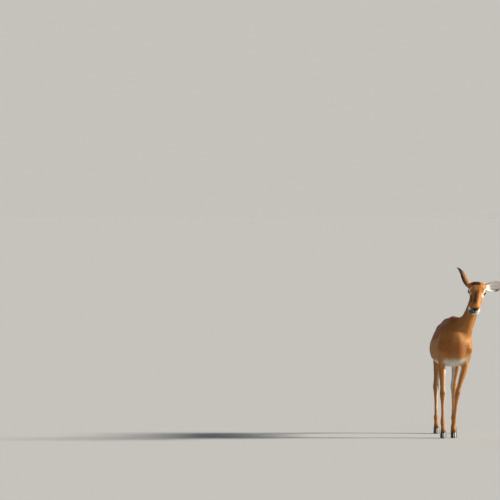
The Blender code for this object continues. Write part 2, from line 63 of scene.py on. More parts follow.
# Leg axes: height, share of the lean from hoof to shoulder or hip, distance behind the hoof
legLines = {
    "foreleg": [
        (0.000, 0.00, 0.000), (0.044, 0.00, 0.002), (0.082, 0.03, 0.016), (0.122, 0.08, 0.026),
        (0.225, 0.20, 0.025), (0.298, 0.31, 0.019), (0.335, 0.42, 0.022), (0.390, 0.60, 0.024),
        (0.450, 0.80, 0.026), (0.500, 0.93, 0.026), (0.610, 1.00, 0.014),
    ],
    "hindleg": [
        (0.000, 0.00, 0.000), (0.044, 0.00, 0.003), (0.084, 0.03, 0.021), (0.135, 0.07, 0.036),
        (0.255, 0.18, 0.048), (0.330, 0.28, 0.045), (0.362, 0.36, 0.026), (0.405, 0.50, -0.010),
        (0.455, 0.70, -0.048), (0.515, 0.90, -0.078), (0.640, 1.00, -0.078),
    ],
}

# Neck stations: centre, half width, half depth
neckLine = [
    ((0.043, -0.266, 0.704), 0.078, 0.116),
    ((0.076, -0.326, 0.765), 0.052, 0.088),
    ((0.100, -0.370, 0.830), 0.0435, 0.067),
    ((0.123, -0.410, 0.905), 0.0415, 0.057),
    ((0.135, -0.442, 0.967), 0.0410, 0.053),
]


def tint(red, green, blue):
    # a screen colour of 0 to 255 as linear light
    shares = np.array((red, green, blue)) / 255
    return np.where(shares > 0.04045, ((shares + 0.055) / 1.055) ** 2.4, shares / 12.92)


def unit(vector):
    return np.array(vector) / np.linalg.norm(vector)


def blended(base, other, share):
    return base * (1 - share) + other * share


def rise(low, high, value):
    share = np.clip((value - low) / (high - low), 0, 1)
    return share * share * (3 - 2 * share)


def bell(distance, width):
    return np.exp(-((distance / width) ** 2))


def wobble(points, size, seed):
    # soft irregular waves of about that size
    chance = np.random.default_rng(seed)
    total = np.zeros(len(points))
    for _ in range(7):
        heading = chance.normal(size=3)
        heading *= chance.uniform(0.6, 1.5) * math.tau / size / np.linalg.norm(heading)
        total += np.sin(points @ heading + chance.uniform(0, math.tau))
    return total / 4


def distanceTo(points, path):
    # to the nearest point of a path of straight runs
    nearest = np.full(len(points), np.inf)
    for start, end in zip(path, path[1:]):
        start, span = np.array(start), np.array(end) - np.array(start)
        share = np.clip((points - start) @ span / (span @ span), 0, 1)
        nearest = np.minimum(nearest, np.linalg.norm(points - start - share[:, None] * span, axis=1))
    return nearest


def middleOf(*nodes):
    corners = [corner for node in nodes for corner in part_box(node)]
    return np.array(sum(corners, Vector()) / len(corners))


turn, pitch, tilt = (math.radians(stance[key]) for key in ("headTurn", "headPitch", "headTilt"))
towardLeft = Vector((math.cos(turn), -math.sin(turn), 0))
towardBack = Vector((math.sin(turn), math.cos(turn), 0))
towardNose = -towardBack * math.cos(pitch) - Vector((0, 0, math.sin(pitch)))
headAxes = Matrix((towardLeft, towardNose, towardNose.cross(towardLeft))).transposed()
headAxes = np.array(Matrix.Rotation(tilt, 3, towardBack) @ headAxes)      # columns: left, nose, crown
eyesMiddle = middleOf("eye_left", "eye_right")
planShift = eyesMiddle - np.array(stance["eyesAt"])
neckRun = unit((-0.30, 0.52, -0.80))         # down the neck


def inHead(points):
    return (points - eyesMiddle) @ headAxes / stance["headSize"]


def fromHead(points):
    return eyesMiddle + np.asarray(points) @ headAxes.T * stance["headSize"]


def sided(points, side):
    # a point or a path as given for the left side, mirrored for the right
    return np.array(points) * (1 if side == "left" else -1, 1, 1)


# Mesh helpers

def newObject(name, mesh):
    made = bpy.data.objects.new(name, mesh)
    bpy.context.scene.collection.objects.link(made)
    return made


def meshFrom(name, points, faces):
    mesh = bpy.data.meshes.new(name)
    mesh.from_pydata([tuple(point) for point in points], [], faces)
    shape = bmesh.new()
    shape.from_mesh(mesh)
    bmesh.ops.recalc_face_normals(shape, faces=shape.faces)
    shape.to_mesh(mesh)
    shape.free()
    mesh.shade_smooth()
    return mesh


def gathered(items, field, width=1, kind=float):
    values = np.empty(len(items) * width, kind)
    items.foreach_get(field, values)
    return values.reshape(-1, width) if width > 1 else values


def coordsOf(mesh):
    return gathered(mesh.vertices, "co", 3)


def normalsOf(mesh):
    return gathered(mesh.vertex_normals, "vector", 3, np.float32).astype(float)


def edgesOf(mesh):
    return gathered(mesh.edges, "vertices", 2, np.int32)


def setCoords(mesh, coords):
    mesh.vertices.foreach_set("co", np.ascontiguousarray(coords, np.float32).ravel())
    mesh.update()


def spread(values, edges, rounds, pulls=(0.5,), mask=1.0):
    # averages each vertex's values with its neighbours'; a second, negative pull keeps the volume
    values = np.array(values, float)
    flat = values.ndim == 1
    if flat:
        values = values[:, None]
    mask = np.broadcast_to(np.asarray(mask, float), len(values))[:, None]
    here, there = np.concatenate((edges, edges[:, ::-1])).T
    count = np.maximum(np.bincount(here, minlength=len(values)), 1)[:, None]
    for _ in range(rounds):
        for pull in pulls:
            sums = [np.bincount(here, column[there], len(values)) for column in values.T]
            values = values + (np.stack(sums, 1) / count - values) * pull * mask
    return values[:, 0] if flat else values


def attribute(mesh, name, kind, domain, values):
    made = mesh.attributes.get(name) or mesh.attributes.new(name, kind, domain)
    field = {"FLOAT": "value", "INT": "value", "FLOAT_VECTOR": "vector", "FLOAT_COLOR": "color"}[kind]
    values = np.asarray(values)
    if kind == "FLOAT_COLOR":
        values = np.hstack((values, np.ones((len(values), 1))))
    made.data.foreach_set(field, values.astype(np.int32 if kind == "INT" else np.float32).ravel())


def modified(thing):
    mesh = bpy.data.meshes.new_from_object(thing.evaluated_get(bpy.context.evaluated_depsgraph_get()))
    thing.modifiers.clear()
    return mesh


def tubeFaces(rows, columns):
    # rings of points joined one to the next, with a fan to one more point at each end
    faces = []
    for i in range(rows - 1):
        for j in range(columns):
            a, b = i * columns + j, i * columns + (j + 1) % columns
            faces.append((a, b, b + columns, a + columns))
    last = (rows - 1) * columns
    for j in range(columns):
        k = (j + 1) % columns
        faces += [(k, j, rows * columns), (last + j, last + k, rows * columns + 1)]
    return faces


# Legs as axes, for finding a point's place round its leg

def legAxes():
    found = {}
    for kind, foot, top in (("foreleg", "fore", "shoulders"), ("hindleg", "hind", "hips")):
        heights, lean, behind = np.array(legLines[kind]).T
        for side in sides:
            hoof = middleOf(f"claw_{foot}_{side}_outer", f"claw_{foot}_{side}_inner") - planShift
            across = hoof[0] + (stance[top][side] - hoof[0]) * lean
            found[f"{kind}_{side}"] = (heights, across, hoof[1] + stance["hoofAhead"] + behind)
    return found


legs = legAxes()


def aroundLeg(plan, name):
    # outward from the midline, and backward, of the leg's axis at the point's height
    heights, across, aft = legs[name]
    outward = plan[:, 0] - np.interp(plan[:, 2], heights, across)
    if name.endswith("right"):
        outward = -outward
    return outward, plan[:, 1] - np.interp(plan[:, 2], heights, aft)


# The skin: all flesh made one surface, fine on the head and legs

skinPlan = {
    "flesh": [
        "head", "neck", "trunk", "foreleg_left", "foreleg_right", "hindleg_left", "hindleg_right", "tail",
    ],
    "overlap": 0.0004,           # each solid swells by this, so that they fuse
    "merge": 0.000001,
    "grid": 0.0058,
    "trunkAbove": 0.47,
    "trunkRounds": 22,           # rounds of smoothing
    "backRounds": 34,
    "limbRounds": 14,
    "zoneRounds": 5,
    "weightRounds": 26,
    "smooth": (0.5,),            # pulls toward the neighbours; the second one, outward, keeps the volume
    "limbSmooth": (0.5, -0.52),
    "zoneSmooth": (0.5, -0.51),
    "legFineBelow": 0.34,
    "legEasedBelow": 0.40,
    "eyeFineWithin": 0.030,
    "muzzleFineFrom": 0.104,
    "lidFineWithin": 0.0225,
    "noseTip": (0.014, 0.147, -0.010),
    "tipFineWithin": 0.013,
    "coatDepth": {
        "head": 0.0014, "neck": 0.0022, "trunk": 0.0026, "foreleg": 0.0016, "hindleg": 0.0018, "tail": 0.0075,
    },
    "hoofThinning": 0.55,        # share by which the coat thins down to the hooves
}


def joinedFlesh():
    whole = bmesh.new()
    faceNodes = []
    for index, name in enumerate(skinPlan["flesh"]):
        part = bmesh.new()
        part.from_mesh(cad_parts[name].data)
        bmesh.ops.remove_doubles(part, verts=part.verts, dist=skinPlan["merge"])
        part.normal_update()
        for vert in part.verts:
            vert.co += vert.normal * skinPlan["overlap"]
        mesh = bpy.data.meshes.new("part")
        part.to_mesh(mesh)
        part.free()
        faceNodes += [index] * len(mesh.polygons)
        whole.from_mesh(mesh)
        bpy.data.meshes.remove(mesh)
    for side in sides:
        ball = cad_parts["eye_" + side].data
        faceNodes += [0] * len(ball.polygons)
        whole.from_mesh(ball)
    bmesh.ops.remove_doubles(whole, verts=whole.verts, dist=skinPlan["merge"])
    return whole, np.array(faceNodes)


def largestPiece(mesh):
    shape = bmesh.new()
    shape.from_mesh(mesh)
    shape.verts.ensure_lookup_table()
    label = [-1] * len(shape.verts)
    sizes = []
    for seed in shape.verts:
        if label[seed.index] >= 0:
            continue
        label[seed.index] = len(sizes)
        stack, size = [seed], 0
        while stack:
            vert = stack.pop()
            size += 1
            for edge in vert.link_edges:
                other = edge.other_vert(vert)
                if label[other.index] < 0:
                    label[other.index] = len(sizes)
                    stack.append(other)
        sizes.append(size)
    keep = sizes.index(max(sizes))
    bmesh.ops.delete(shape, geom=[v for v in shape.verts if label[v.index] != keep], context="VERTS")
    shape.to_mesh(mesh)
    shape.free()


def fused(whole):
    mesh = bpy.data.meshes.new("skin")
    whole.to_mesh(mesh)
    whole.free()
    skin = newObject("skin", mesh)
    remesh = skin.modifiers.new("fuse", "REMESH")
    remesh.mode = "VOXEL"
    remesh.voxel_size = skinPlan["grid"]
    skin.data = modified(skin)
    largestPiece(skin.data)
    return skin


def aboutHead(head, behind, below, beside):
    return (head[:, 1] > behind) & (head[:, 2] > below) & (np.abs(head[:, 0]) < beside)


def relax(mesh):
    # the trunk is smoothed freely; the head and legs keep their volume
    coords, edges = coordsOf(mesh), edgesOf(mesh)
    plan = coords - planShift
    across, along, height = np.abs(plan[:, 0]), plan[:, 1], plan[:, 2]
    trunk = (height > skinPlan["trunkAbove"]) & ~aboutHead(inHead(coords), -0.085, -0.075, 0.07)
    broad = spread(trunk.astype(float), edges, 6)
    coords = spread(coords, edges, skinPlan["trunkRounds"], skinPlan["smooth"], broad)
    coords = spread(coords, edges, skinPlan["limbRounds"], skinPlan["limbSmooth"], 1 - broad)
    back = rise(0.085, 0.035, across) * rise(0.68, 0.75, height) * rise(-0.27, -0.17, along)
    # the back once more, for a rounder midline
    setCoords(mesh, spread(coords, edges, skinPlan["backRounds"], skinPlan["smooth"], back * broad))


def halved(mesh, chosen):
    # each chosen edge is halved, so its faces get a grid twice as fine
    shape = bmesh.new()
    shape.from_mesh(mesh)
    edges = [edge for edge in shape.edges if chosen[edge.verts[0].index] and chosen[edge.verts[1].index]]
    bmesh.ops.subdivide_edges(shape, edges=edges, cuts=1, use_grid_fill=True)
    bmesh.ops.triangulate(shape, faces=[face for face in shape.faces if len(face.verts) > 4])
    shape.to_mesh(mesh)
    shape.free()


def eyeDistance(head):
    eyes = [sided((stance["eyeSide"], 0, 0), side) for side in sides]
    return np.min([np.linalg.norm(head - eye, axis=1) for eye in eyes], axis=0)


def refine(mesh):
    # finer grids: head and lower legs, then face and muzzle, then lids and nose
    for zone in range(3):
        head = inHead(coordsOf(mesh))
        chosen = aboutHead(head, -0.095, -0.080, 0.07)
        if zone == 0:
            chosen |= (coordsOf(mesh) - planShift)[:, 2] < skinPlan["legFineBelow"]
        elif zone == 1:
            muzzle = head[:, 1] > skinPlan["muzzleFineFrom"]
            chosen &= (eyeDistance(head) < skinPlan["eyeFineWithin"]) | muzzle
        else:
            toTip = np.column_stack((np.abs(head[:, 0]), head[:, 1:])) - skinPlan["noseTip"]
            nose = np.linalg.norm(toTip, axis=1) < skinPlan["tipFineWithin"]
            chosen &= (eyeDistance(head) < skinPlan["lidFineWithin"]) | nose
        halved(mesh, chosen)
        coords, edges = coordsOf(mesh), edgesOf(mesh)
        eased = (coords - planShift)[:, 2] < skinPlan["legEasedBelow"]
        eased |= aboutHead(inHead(coords), -0.10, -0.09, 0.08)
        eased = spread(eased.astype(float), edges, 2)
        setCoords(mesh, spread(coords, edges, skinPlan["zoneRounds"], skinPlan["zoneSmooth"], eased))


def bareSkin():
    whole, faceNodes = joinedFlesh()
    tree = BVHTree.FromBMesh(whole)
    skin = fused(whole)
    relax(skin.data)
    refine(skin.data)
    nodeOf = [faceNodes[tree.find_nearest(Vector(point))[2]] for point in coordsOf(skin.data)]
    return skin, np.array(nodeOf)        # which node each vertex came from


skin, nodeOf = bareSkin()
skinMesh = skin.data
skinEdges = edgesOf(skinMesh)
weights = {}
for index, name in enumerate(skinPlan["flesh"]):
    weights[name] = spread((nodeOf == index).astype(float), skinEdges, skinPlan["weightRounds"])
weights["foreleg"] = weights["foreleg_left"] + weights["foreleg_right"]
weights["hindleg"] = weights["hindleg_left"] + weights["hindleg_right"]
print("skin joined:", len(skinMesh.polygons), "faces")

depths = sum(weights[name] * depth for name, depth in skinPlan["coatDepth"].items())
depths *= 1 - skinPlan["hoofThinning"] * rise(0.16, 0.05, coordsOf(skinMesh)[:, 2])
setCoords(skinMesh, coordsOf(skinMesh) - normalsOf(skinMesh) * depths[:, None])


# Forms under the skin: each line is a path, a width and a height that is negative for a groove.
# The left side's are given, and the right side mirrors them.

bodyForms = {
    "bladeEdge": ([(0.048, -0.205, 0.775), (0.082, -0.235, 0.690), (0.092, -0.290, 0.618)], 0.020, 0.0014),
    "behindBlade": ([(0.060, -0.165, 0.770), (0.108, -0.180, 0.680), (0.104, -0.190, 0.575)], 0.032, -0.0024),
    "shoulderPoint": ([(0.070, -0.352, 0.628), (0.080, -0.345, 0.600)], 0.020, 0.0045),
    "upperArm": ([(0.086, -0.335, 0.605), (0.092, -0.262, 0.545)], 0.017, 0.0035),
    "armGroove": ([(0.098, -0.300, 0.560), (0.090, -0.280, 0.500)], 0.010, -0.0026),
    "elbow": ([(0.088, -0.218, 0.525), (0.086, -0.228, 0.500)], 0.013, 0.0032),
    "breastGroove": ([(0.000, -0.405, 0.690), (0.000, -0.400, 0.560)], 0.016, -0.0014),
    "breastMuscle": ([(0.034, -0.388, 0.640), (0.030, -0.372, 0.560)], 0.026, 0.0014),
    "hipBone": ([(0.086, 0.165, 0.742), (0.084, 0.178, 0.728)], 0.018, 0.0050),
    "flankHollow": ([(0.098, 0.118, 0.712), (0.096, 0.140, 0.650)], 0.026, -0.0060),
    "flankFold": ([(0.078, 0.092, 0.497), (0.094, 0.150, 0.560), (0.094, 0.178, 0.620)], 0.011, 0.0040),
    "kneeCap": ([(0.088, 0.148, 0.548), (0.086, 0.152, 0.528)], 0.017, 0.0036),
    "thighFront": ([(0.096, 0.178, 0.690), (0.104, 0.168, 0.590)], 0.018, 0.0030),
    "thighGroove": ([(0.080, 0.262, 0.700), (0.092, 0.250, 0.600), (0.078, 0.262, 0.510)], 0.011, -0.0030),
    "pinBone": ([(0.036, 0.342, 0.700), (0.040, 0.338, 0.690)], 0.016, 0.0030),
    "loin": ([(0.030, 0.000, 0.796), (0.036, 0.150, 0.796)], 0.020, 0.0018),
    "backbone": ([(0.000, -0.150, 0.818), (0.000, 0.280, 0.782)], 0.014, 0.0005),
}
bodyRelief = 1.35
pathStep = 0.008
ribs = {"count": 9, "from": -0.150, "step": 0.031, "slant": 0.065, "width": 0.0090, "height": 0.0007}
neckForms = {       # place as shares of the neck's half width and half depth, then width and height
    "furrow": (0.80, 0.52, 0.010, -0.0040),
    "strap": (0.95, 0.05, 0.014, 0.0024),
    "windpipe": (0.00, 0.98, 0.013, 0.0026),
}
throatCreases = {"spacing": 0.017, "below": 0.030, "height": 0.0003}


def raised(points, normals, path, width, height):
    # only the points near the path are asked
    path = np.array(path)
    reach = 3 * width
    near = np.all((points > path.min(axis=0) - reach) & (points < path.max(axis=0) + reach), axis=1)
    move = np.zeros_like(points)
    move[near] = normals[near] * (bell(distanceTo(points[near], path), width) * height)[:, None]
    return move


def laid(path, toWorld, fromWorld):
    # the path in short steps, each dropped onto the skin
    path = np.array(path)
    dense = [path[:1]]
    for start, end in zip(path, path[1:]):
        steps = max(1, round(np.linalg.norm(end - start) / pathStep))
        dense.append(start + (end - start) * (np.arange(1, steps + 1) / steps)[:, None])
    world = toWorld(np.vstack(dense))
    return fromWorld(np.array([surface.find_nearest(Vector(point))[0] for point in world]))


def laidBody(path):
    return laid(path, lambda points: points + planShift, lambda points: points - planShift)


def laidHead(path):
    return laid(path, fromHead, inHead)


def shapeBody(coords, normals):
    plan = coords - planShift
    move = np.zeros_like(coords)
    for side in sides:
        for path, width, height in bodyForms.values():
            if side == "right" and path[0][0] == 0:
                continue
            move += raised(plan, normals, laidBody(sided(path, side)), width, height * bodyRelief)
        for number in range(ribs["count"]):
            top, slant = ribs["from"] + ribs["step"] * number, ribs["slant"]
            path = [(0.080, top, 0.745), (0.125, top + slant * 0.45, 0.635), (0.100, top + slant, 0.520)]
            height = ribs["height"] * (0.45 + 0.55 * number / ribs["count"])
            move += raised(plan, normals, laidBody(sided(path, side)), ribs["width"], height)

    # neck: a furrow and a strap of muscle down each side, a windpipe in front, creases round the throat
    across = unit((1, -0.12, -0.08))
    ahead = -np.cross(across, neckRun)
    ahead *= -1 if ahead[1] > 0 else 1

    def downNeck(outward, forward, width, height):
        path = []
        for centre, half, deep in neckLine[1:]:
            path.append(np.array(centre) + across * half * outward + ahead * deep * forward)
        return raised(plan, normals, laidBody(path), width, height)

    for sign in (1, -1):
        for name in ("furrow", "strap"):
            outward, *others = neckForms[name]
            move += downNeck(outward * sign, *others)
    move += downNeck(*neckForms["windpipe"])
    alongNeck = (plan - np.array(neckLine[-1][0])) @ neckRun
    creases = np.sin(alongNeck * math.tau / throatCreases["spacing"] + wobble(plan, 0.09, 5) * 1.6)
    creases *= rise(0.11, 0.03, np.abs(alongNeck - throatCreases["below"])) * weights["neck"]
    creases = creases * rise(-0.1, 0.7, normals @ ahead) * throatCreases["height"]
    return move + normals * creases[:, None]


# Legs: height above the floor and its reach, angle round the leg and its reach, and relief.
# The angle is 0 behind the leg and a quarter turn, 1.57, at its sides.
legForms = {
    "foreleg": {
        "kneeFront": (0.300, 0.020, 2.6, 0.7, 0.0026),
        "kneeFoot": (0.272, 0.012, 2.9, 0.7, 0.0014),
        "kneeCrease": (0.288, 0.0055, 2.9, 0.8, -0.0012),
        "forearmGroove": (0.400, 0.050, 1.25, 0.35, -0.0022),
        "forearmMuscle": (0.425, 0.045, 2.0, 0.40, 0.0026),
    },
    "hindleg": {
        "hollowBeforeTendon": (0.385, 0.035, 0.72, 0.34, -0.0060),
        "hockSide": (0.318, 0.022, 1.60, 0.55, 0.0022),
        "hockFront": (0.300, 0.014, 2.9, 0.5, 0.0014),
        "shinMuscle": (0.430, 0.050, 2.2, 0.40, 0.0022),
    },
    "both": {
        "fetlockBack": (0.104, 0.013, 0.2, 0.7, 0.0030),
        "fetlockSide": (0.108, 0.012, 1.6, 0.5, 0.0012),
        "pasternHollow": (0.078, 0.009, 0, 0.8, -0.0022),
    },
}
footForms = {
    "cannonGroove": -0.0018,
    "cleft": -0.0022,            # between the claws
    "cleftWidth": 0.0028,
    "coronet": 0.0014,
    "coronetAt": 0.047,
    "coronetSlope": 0.36,
    "tuck": -0.0020,             # the skin ends inside the claws
}


def shapeLegs(coords, normals):
    plan = coords - planShift
    height = plan[:, 2]
    move = np.zeros(len(coords))
    for name in legs:
        out, back = aroundLeg(plan, name)
        angle = np.arctan2(np.abs(out), back)
        relief = bell(angle - 1.05, 0.26) * rise(0.105, 0.135, height) * rise(0.30, 0.26, height)
        relief *= footForms["cannonGroove"]
        for kind in (name.split("_")[0], "both"):
            for level, reach, toward, wide, rising in legForms[kind].values():
                relief += bell(height - level, reach) * bell(angle - toward, wide) * rising
        cleft = bell(out, footForms["cleftWidth"]) * rise(0.062, 0.046, height)
        cleft *= np.hypot(out, back) > 0.004
        coronet = bell(height - footForms["coronetAt"] - back * footForms["coronetSlope"], 0.007)
        relief += cleft * footForms["cleft"] + coronet * footForms["coronet"]
        relief += rise(0.068, 0.044, height) * footForms["tuck"]
        move += np.clip(weights[name] * 1.4, 0, 1) * rise(0.50, 0.40, height) * relief
    return normals * move[:, None]


# The head: bones and folds, the nostrils, the mouth and the lids

headForms = {
    "cheekRidge": ([(0.041, -0.012, -0.020), (0.038, 0.040, -0.023), (0.0345, 0.075, -0.026)], 0.006, 0.0018),
    "underCheek": ([(0.036, -0.010, -0.036), (0.033, 0.055, -0.040)], 0.0070, -0.0016),
    "jawMuscle": ([(0.038, -0.046, -0.022), (0.036, -0.034, -0.044)], 0.0140, 0.0022),
    "jawEdge": ([(0.024, -0.030, -0.060), (0.016, 0.070, -0.055)], 0.0050, 0.0012),
    "nasalEdge": ([(0.0160, 0.020, 0.029), (0.0135, 0.070, 0.0175), (0.0125, 0.118, 0.006)], 0.0046, 0.0006),
    "noseSide": ([(0.0290, 0.068, 0.003), (0.0260, 0.118, -0.008)], 0.0075, -0.0020),
    "temple": ([(0.037, -0.033, 0.022), (0.038, -0.026, 0.012)], 0.0085, -0.0022),
    "browBone": ([(0.036, -0.018, 0.024), (0.041, 0.000, 0.0235), (0.037, 0.018, 0.019)], 0.0050, 0.0020),
    "foreheadDip": ([(0.000, 0.002, 0.040), (0.000, 0.030, 0.032)], 0.0080, -0.0012),
    "tearLine": ([(0.0385, 0.020, -0.006), (0.0365, 0.033, -0.012), (0.0345, 0.05, -0.017)], 0.0026, -0.0013),
    "earFold": ([(0.046, -0.047, 0.000), (0.050, -0.052, -0.014)], 0.0045, -0.0018),
    "lipRoll": ([(0.0150, 0.147, -0.030), (0.0280, 0.126, -0.034), (0.0330, 0.096, -0.039)], 0.0042, 0.0014),
    "lowerLip": ([(0.0090, 0.147, -0.046), (0.0220, 0.130, -0.050), (0.0300, 0.100, -0.053)], 0.0040, 0.0012),
    "philtrum": ([(0.000, 0.154, -0.020), (0.000, 0.152, -0.036)], 0.0015, -0.0017),
    "chinDimple": ([(0.000, 0.146, -0.053), (0.0110, 0.141, -0.055)], 0.0035, -0.0012),
}
lipPush = ([(-0.0310, 0.100, -0.040), (-0.0335, 0.126, -0.038)], 0.0130, 0.0036)    # over the tongue
mouth = {
    "line": [
        (0.0000, 0.1510, -0.0395), (0.0110, 0.1490, -0.0400), (0.0215, 0.1380, -0.0425),
        (0.0290, 0.1150, -0.0455), (0.0325, 0.0930, -0.0470),
    ],
    "width": 0.0019,
    "depth": 0.0050,
    "cornerDepth": 0.0024,
    "from": 0.080,
}
nostril = {
    "line": [
        (0.0195, 0.1370, -0.0030), (0.0165, 0.1445, -0.0065), (0.0120, 0.1490, -0.0115),
        (0.0088, 0.1510, -0.0165),
    ],
    "into": (0.05, 1.0, -0.25),
    "width": 0.0023,
    "depth": 0.0085,
    "rim": 0.0008,
    "rimWidth": 0.0050,
    "rimSoftness": 0.0022,
}
lids = {
    "gaze": (0.88, 0.43, 0.10),
    "cornerDrop": 14,          # degrees by which the front corner lies lower
    "length": 60,              # half the opening, in degrees on the eyeball
    "height": 32,
    "corners": 1.72,           # under 2 points the corners
    "thickness": 0.0014,
    "sunk": 0.0032,
    "edge": 0.075,
    "within": 0.034,
    "creaseAt": 0.52,          # in half openings outside the edge
    "creases": (0.0014, 0.0007),      # upper and lower lid
}


def lidAxes(side):
    # the eyeball's centre, where it looks, and the lengthwise and upward directions of the opening
    gaze = unit(sided(lids["gaze"], side))
    drop = math.radians(lids["cornerDrop"])
    along = np.array((0, math.cos(drop), -math.sin(drop)))
    along = unit(along - gaze * (along @ gaze))
    above = np.cross(gaze, along)
    return sided((stance["eyeSide"], 0, 0), side), gaze, along, above * (1 if above[2] > 0 else -1)


def lidPlane(head, side):
    # angles along and across the opening, distance from the eyeball's centre, and how far outside the edge
    centre, gaze, along, above = lidAxes(side)
    away = head - centre
    size = np.maximum(np.linalg.norm(away, axis=1), 1e-6)
    heading = away / size[:, None]
    lengthwise = np.degrees(np.arctan2(heading @ along, heading @ gaze))
    upward = np.degrees(np.arcsin(np.clip(heading @ above, -1, 1)))
    power = lids["corners"]
    ratio = np.abs(lengthwise / lids["length"]) ** power + np.abs(upward / lids["height"]) ** power
    return lengthwise, upward, size, ratio ** (1 / power) - 1


def shapeHead(coords, normals):
    head = inHead(coords)
    localNormals = normals @ headAxes
    own = rise(-0.11, -0.08, head[:, 1]) * rise(-0.090, -0.072, head[:, 2])
    move = np.zeros_like(head)
    for side in sides:
        for path, width, height in headForms.values():
            if side == "right" and path[0][0] == 0:
                continue
            move += raised(head, localNormals, laidHead(sided(path, side)), width, height)
    move += raised(head, localNormals, laidHead(lipPush[0]), *lipPush[1:])
    head = head + move * own[:, None]

    into = unit(nostril["into"])
    for side in sides:
        slit = distanceTo(head, nostrilPaths[side])
        marks["nostril"] = np.minimum(marks["nostril"], slit)
        head = head - into * (bell(slit, nostril["width"]) * nostril["depth"])[:, None]
        rim = bell(slit - nostril["rimWidth"], nostril["rimSoftness"]) * nostril["rim"]
        head = head + localNormals * rim[:, None]
        lips = distanceTo(head, mouthPaths[side])
        marks["mouth"] = np.minimum(marks["mouth"], lips)
        deep = mouth["cornerDepth"] + (mouth["depth"] - mouth["cornerDepth"]) * rise(0.100, 0.140, head[:, 1])
        deep = bell(lips, mouth["width"]) * deep * (head[:, 1] > mouth["from"])
        head = head - localNormals * deep[:, None]

    ball = stance["eyeRadius"] / stance["headSize"]
    inside = ball - lids["sunk"]
    for side in sides:
        centre = lidAxes(side)[0]
        lengthwise, upward, size, out = lidPlane(head, side)
        near = (sided(head, side)[:, 0] > 0.015) & (size < lids["within"])
        lid = ball + lids["thickness"] * (1 + 0.5 * rise(0, 0.3, out))
        wanted = lid + (np.maximum(size, lid) - lid) * rise(0.10, 0.75, out)
        crease = bell(out - lids["creaseAt"], 0.085) * np.where(upward > 0, *lids["creases"])
        crease *= rise(1.3, 0.9, np.abs(lengthwise) / lids["length"])
        wanted = wanted - crease + bell(out - 0.26, 0.14) * 0.0005
        wanted = inside + (wanted - inside) * rise(-lids["edge"], 0.0, out)
        heading = (head - centre) / size[:, None]
        head = np.where(near[:, None], centre + heading * wanted[:, None], head)
    return fromHead(head)


surface = BVHTree.FromObject(skin, bpy.context.evaluated_depsgraph_get())
nostrilPaths = {side: laidHead(sided(nostril["line"], side)) for side in sides}
mouthPaths = {side: laidHead(sided(mouth["line"], side)) for side in sides}
marks = {name: np.full(len(skinMesh.vertices), 1.0) for name in ("nostril", "mouth")}      # how near each is
coords, normals = coordsOf(skinMesh), normalsOf(skinMesh)
trunkShare = np.clip(1 - weights["head"], 0, 1)[:, None]
setCoords(skinMesh, coords + shapeBody(coords, normals) * trunkShare + shapeLegs(coords, normals))
coords = coordsOf(skinMesh)
headShare = rise(0.02, 0.5, weights["head"])[:, None]
setCoords(skinMesh, blended(coords, shapeHead(coords, normalsOf(skinMesh)), headShare))
skinMesh.shade_smooth()
print("forms shaped")


# Markings and some painted shade, the same for skin and coat

coatColours = {
    "saddle": tint(148, 82, 36),
    "side": tint(176, 128, 72),
    "neck": tint(168, 112, 56),
    "nape": tint(146, 84, 42),
    "leg": tint(168, 112, 58),
    "face": tint(176, 114, 56),
    "cheek": tint(186, 134, 84),
    "white": tint(212, 206, 194),
    "faceWhite": tint(228, 223, 213),
    "dark": tint(56, 31, 20),
    "crown": tint(44, 14, 11),
    "black": tint(22, 18, 17),
    "nose": tint(18, 17, 19),
    "lipSkin": tint(48, 41, 43),
}
coatPattern = {
    "saddleEdge": 0.640,         # height of the red-brown back's lower edge, on the trunk and on the legs
    "saddleEdgeOnLegs": 0.656,
    "edgeWave": 0.004,
    "glandFrom": 0.118,          # the black tufts above the hind fetlocks
    "glandTo": 0.190,
    "rumpStripe": 0.060,         # from the middle plane
    "rumpStripeWidth": 0.0062,
}


def plain(name, points):
    return np.tile(coatColours[name], (len(points), 1))


def mixed(base, name, share):
    return blended(base, coatColours[name], np.clip(share, 0, 1)[:, None])


def neckAxis(plan):
    # distance down the neck, and the axis there: centre, half width, half depth
    table = np.array([(*centre, half, deep) for centre, half, deep in neckLine])
    reach = table[:, :3] @ neckRun
    order = np.argsort(reach)
    run = plan @ neckRun
    return run, np.stack([np.interp(run, reach[order], column) for column in table[order].T], 1)


def frontOfNeck(plan):
    # 1 along the throat, 0 at the sides, less behind
    axis = neckAxis(plan)[1]
    ahead = np.array((-0.05, -0.84, -0.54))
    return (plan - axis[:, :3]) @ ahead / axis[:, 4]


def trunkColour(plan, normals, soft):
    # red-brown above a line, fawn side, a breast darkened as painted shade, white belly
    along, height = plan[:, 1], plan[:, 2]
    line = coatPattern["saddleEdge"] + soft * coatPattern["edgeWave"]
    line += 0.030 * rise(-0.02, -0.26, along) + 0.016 * rise(0.05, 0.24, along)
    colour = mixed(plain("side", plan), "saddle", rise(line - 0.010, line + 0.014, height) * 0.92)
    colour = mixed(colour, "saddle", rise(0.70, 0.80, height) * 0.5)
    colour = mixed(colour, "neck", rise(-0.20, -0.40, along) * rise(0.80, 0.66, height))
    # painted shade: the front of the breast is darkened, a little more toward the right, where the chest lies
    # in shade
    breastShade = rise(0.35, 0.85, -normals[:, 1]) * rise(-0.26, -0.34, along)
    breastShade *= rise(0.53, 0.60, height) * rise(0.74, 0.64, height) * rise(0.085, 0.045, plan[:, 0] + 0.010)
    colour = mixed(colour, "nape", breastShade * 0.7)
    return mixed(colour, "white", rise(0.40, 0.72, soft * 0.10 - normals[:, 2]) * rise(0.56, 0.50, height))


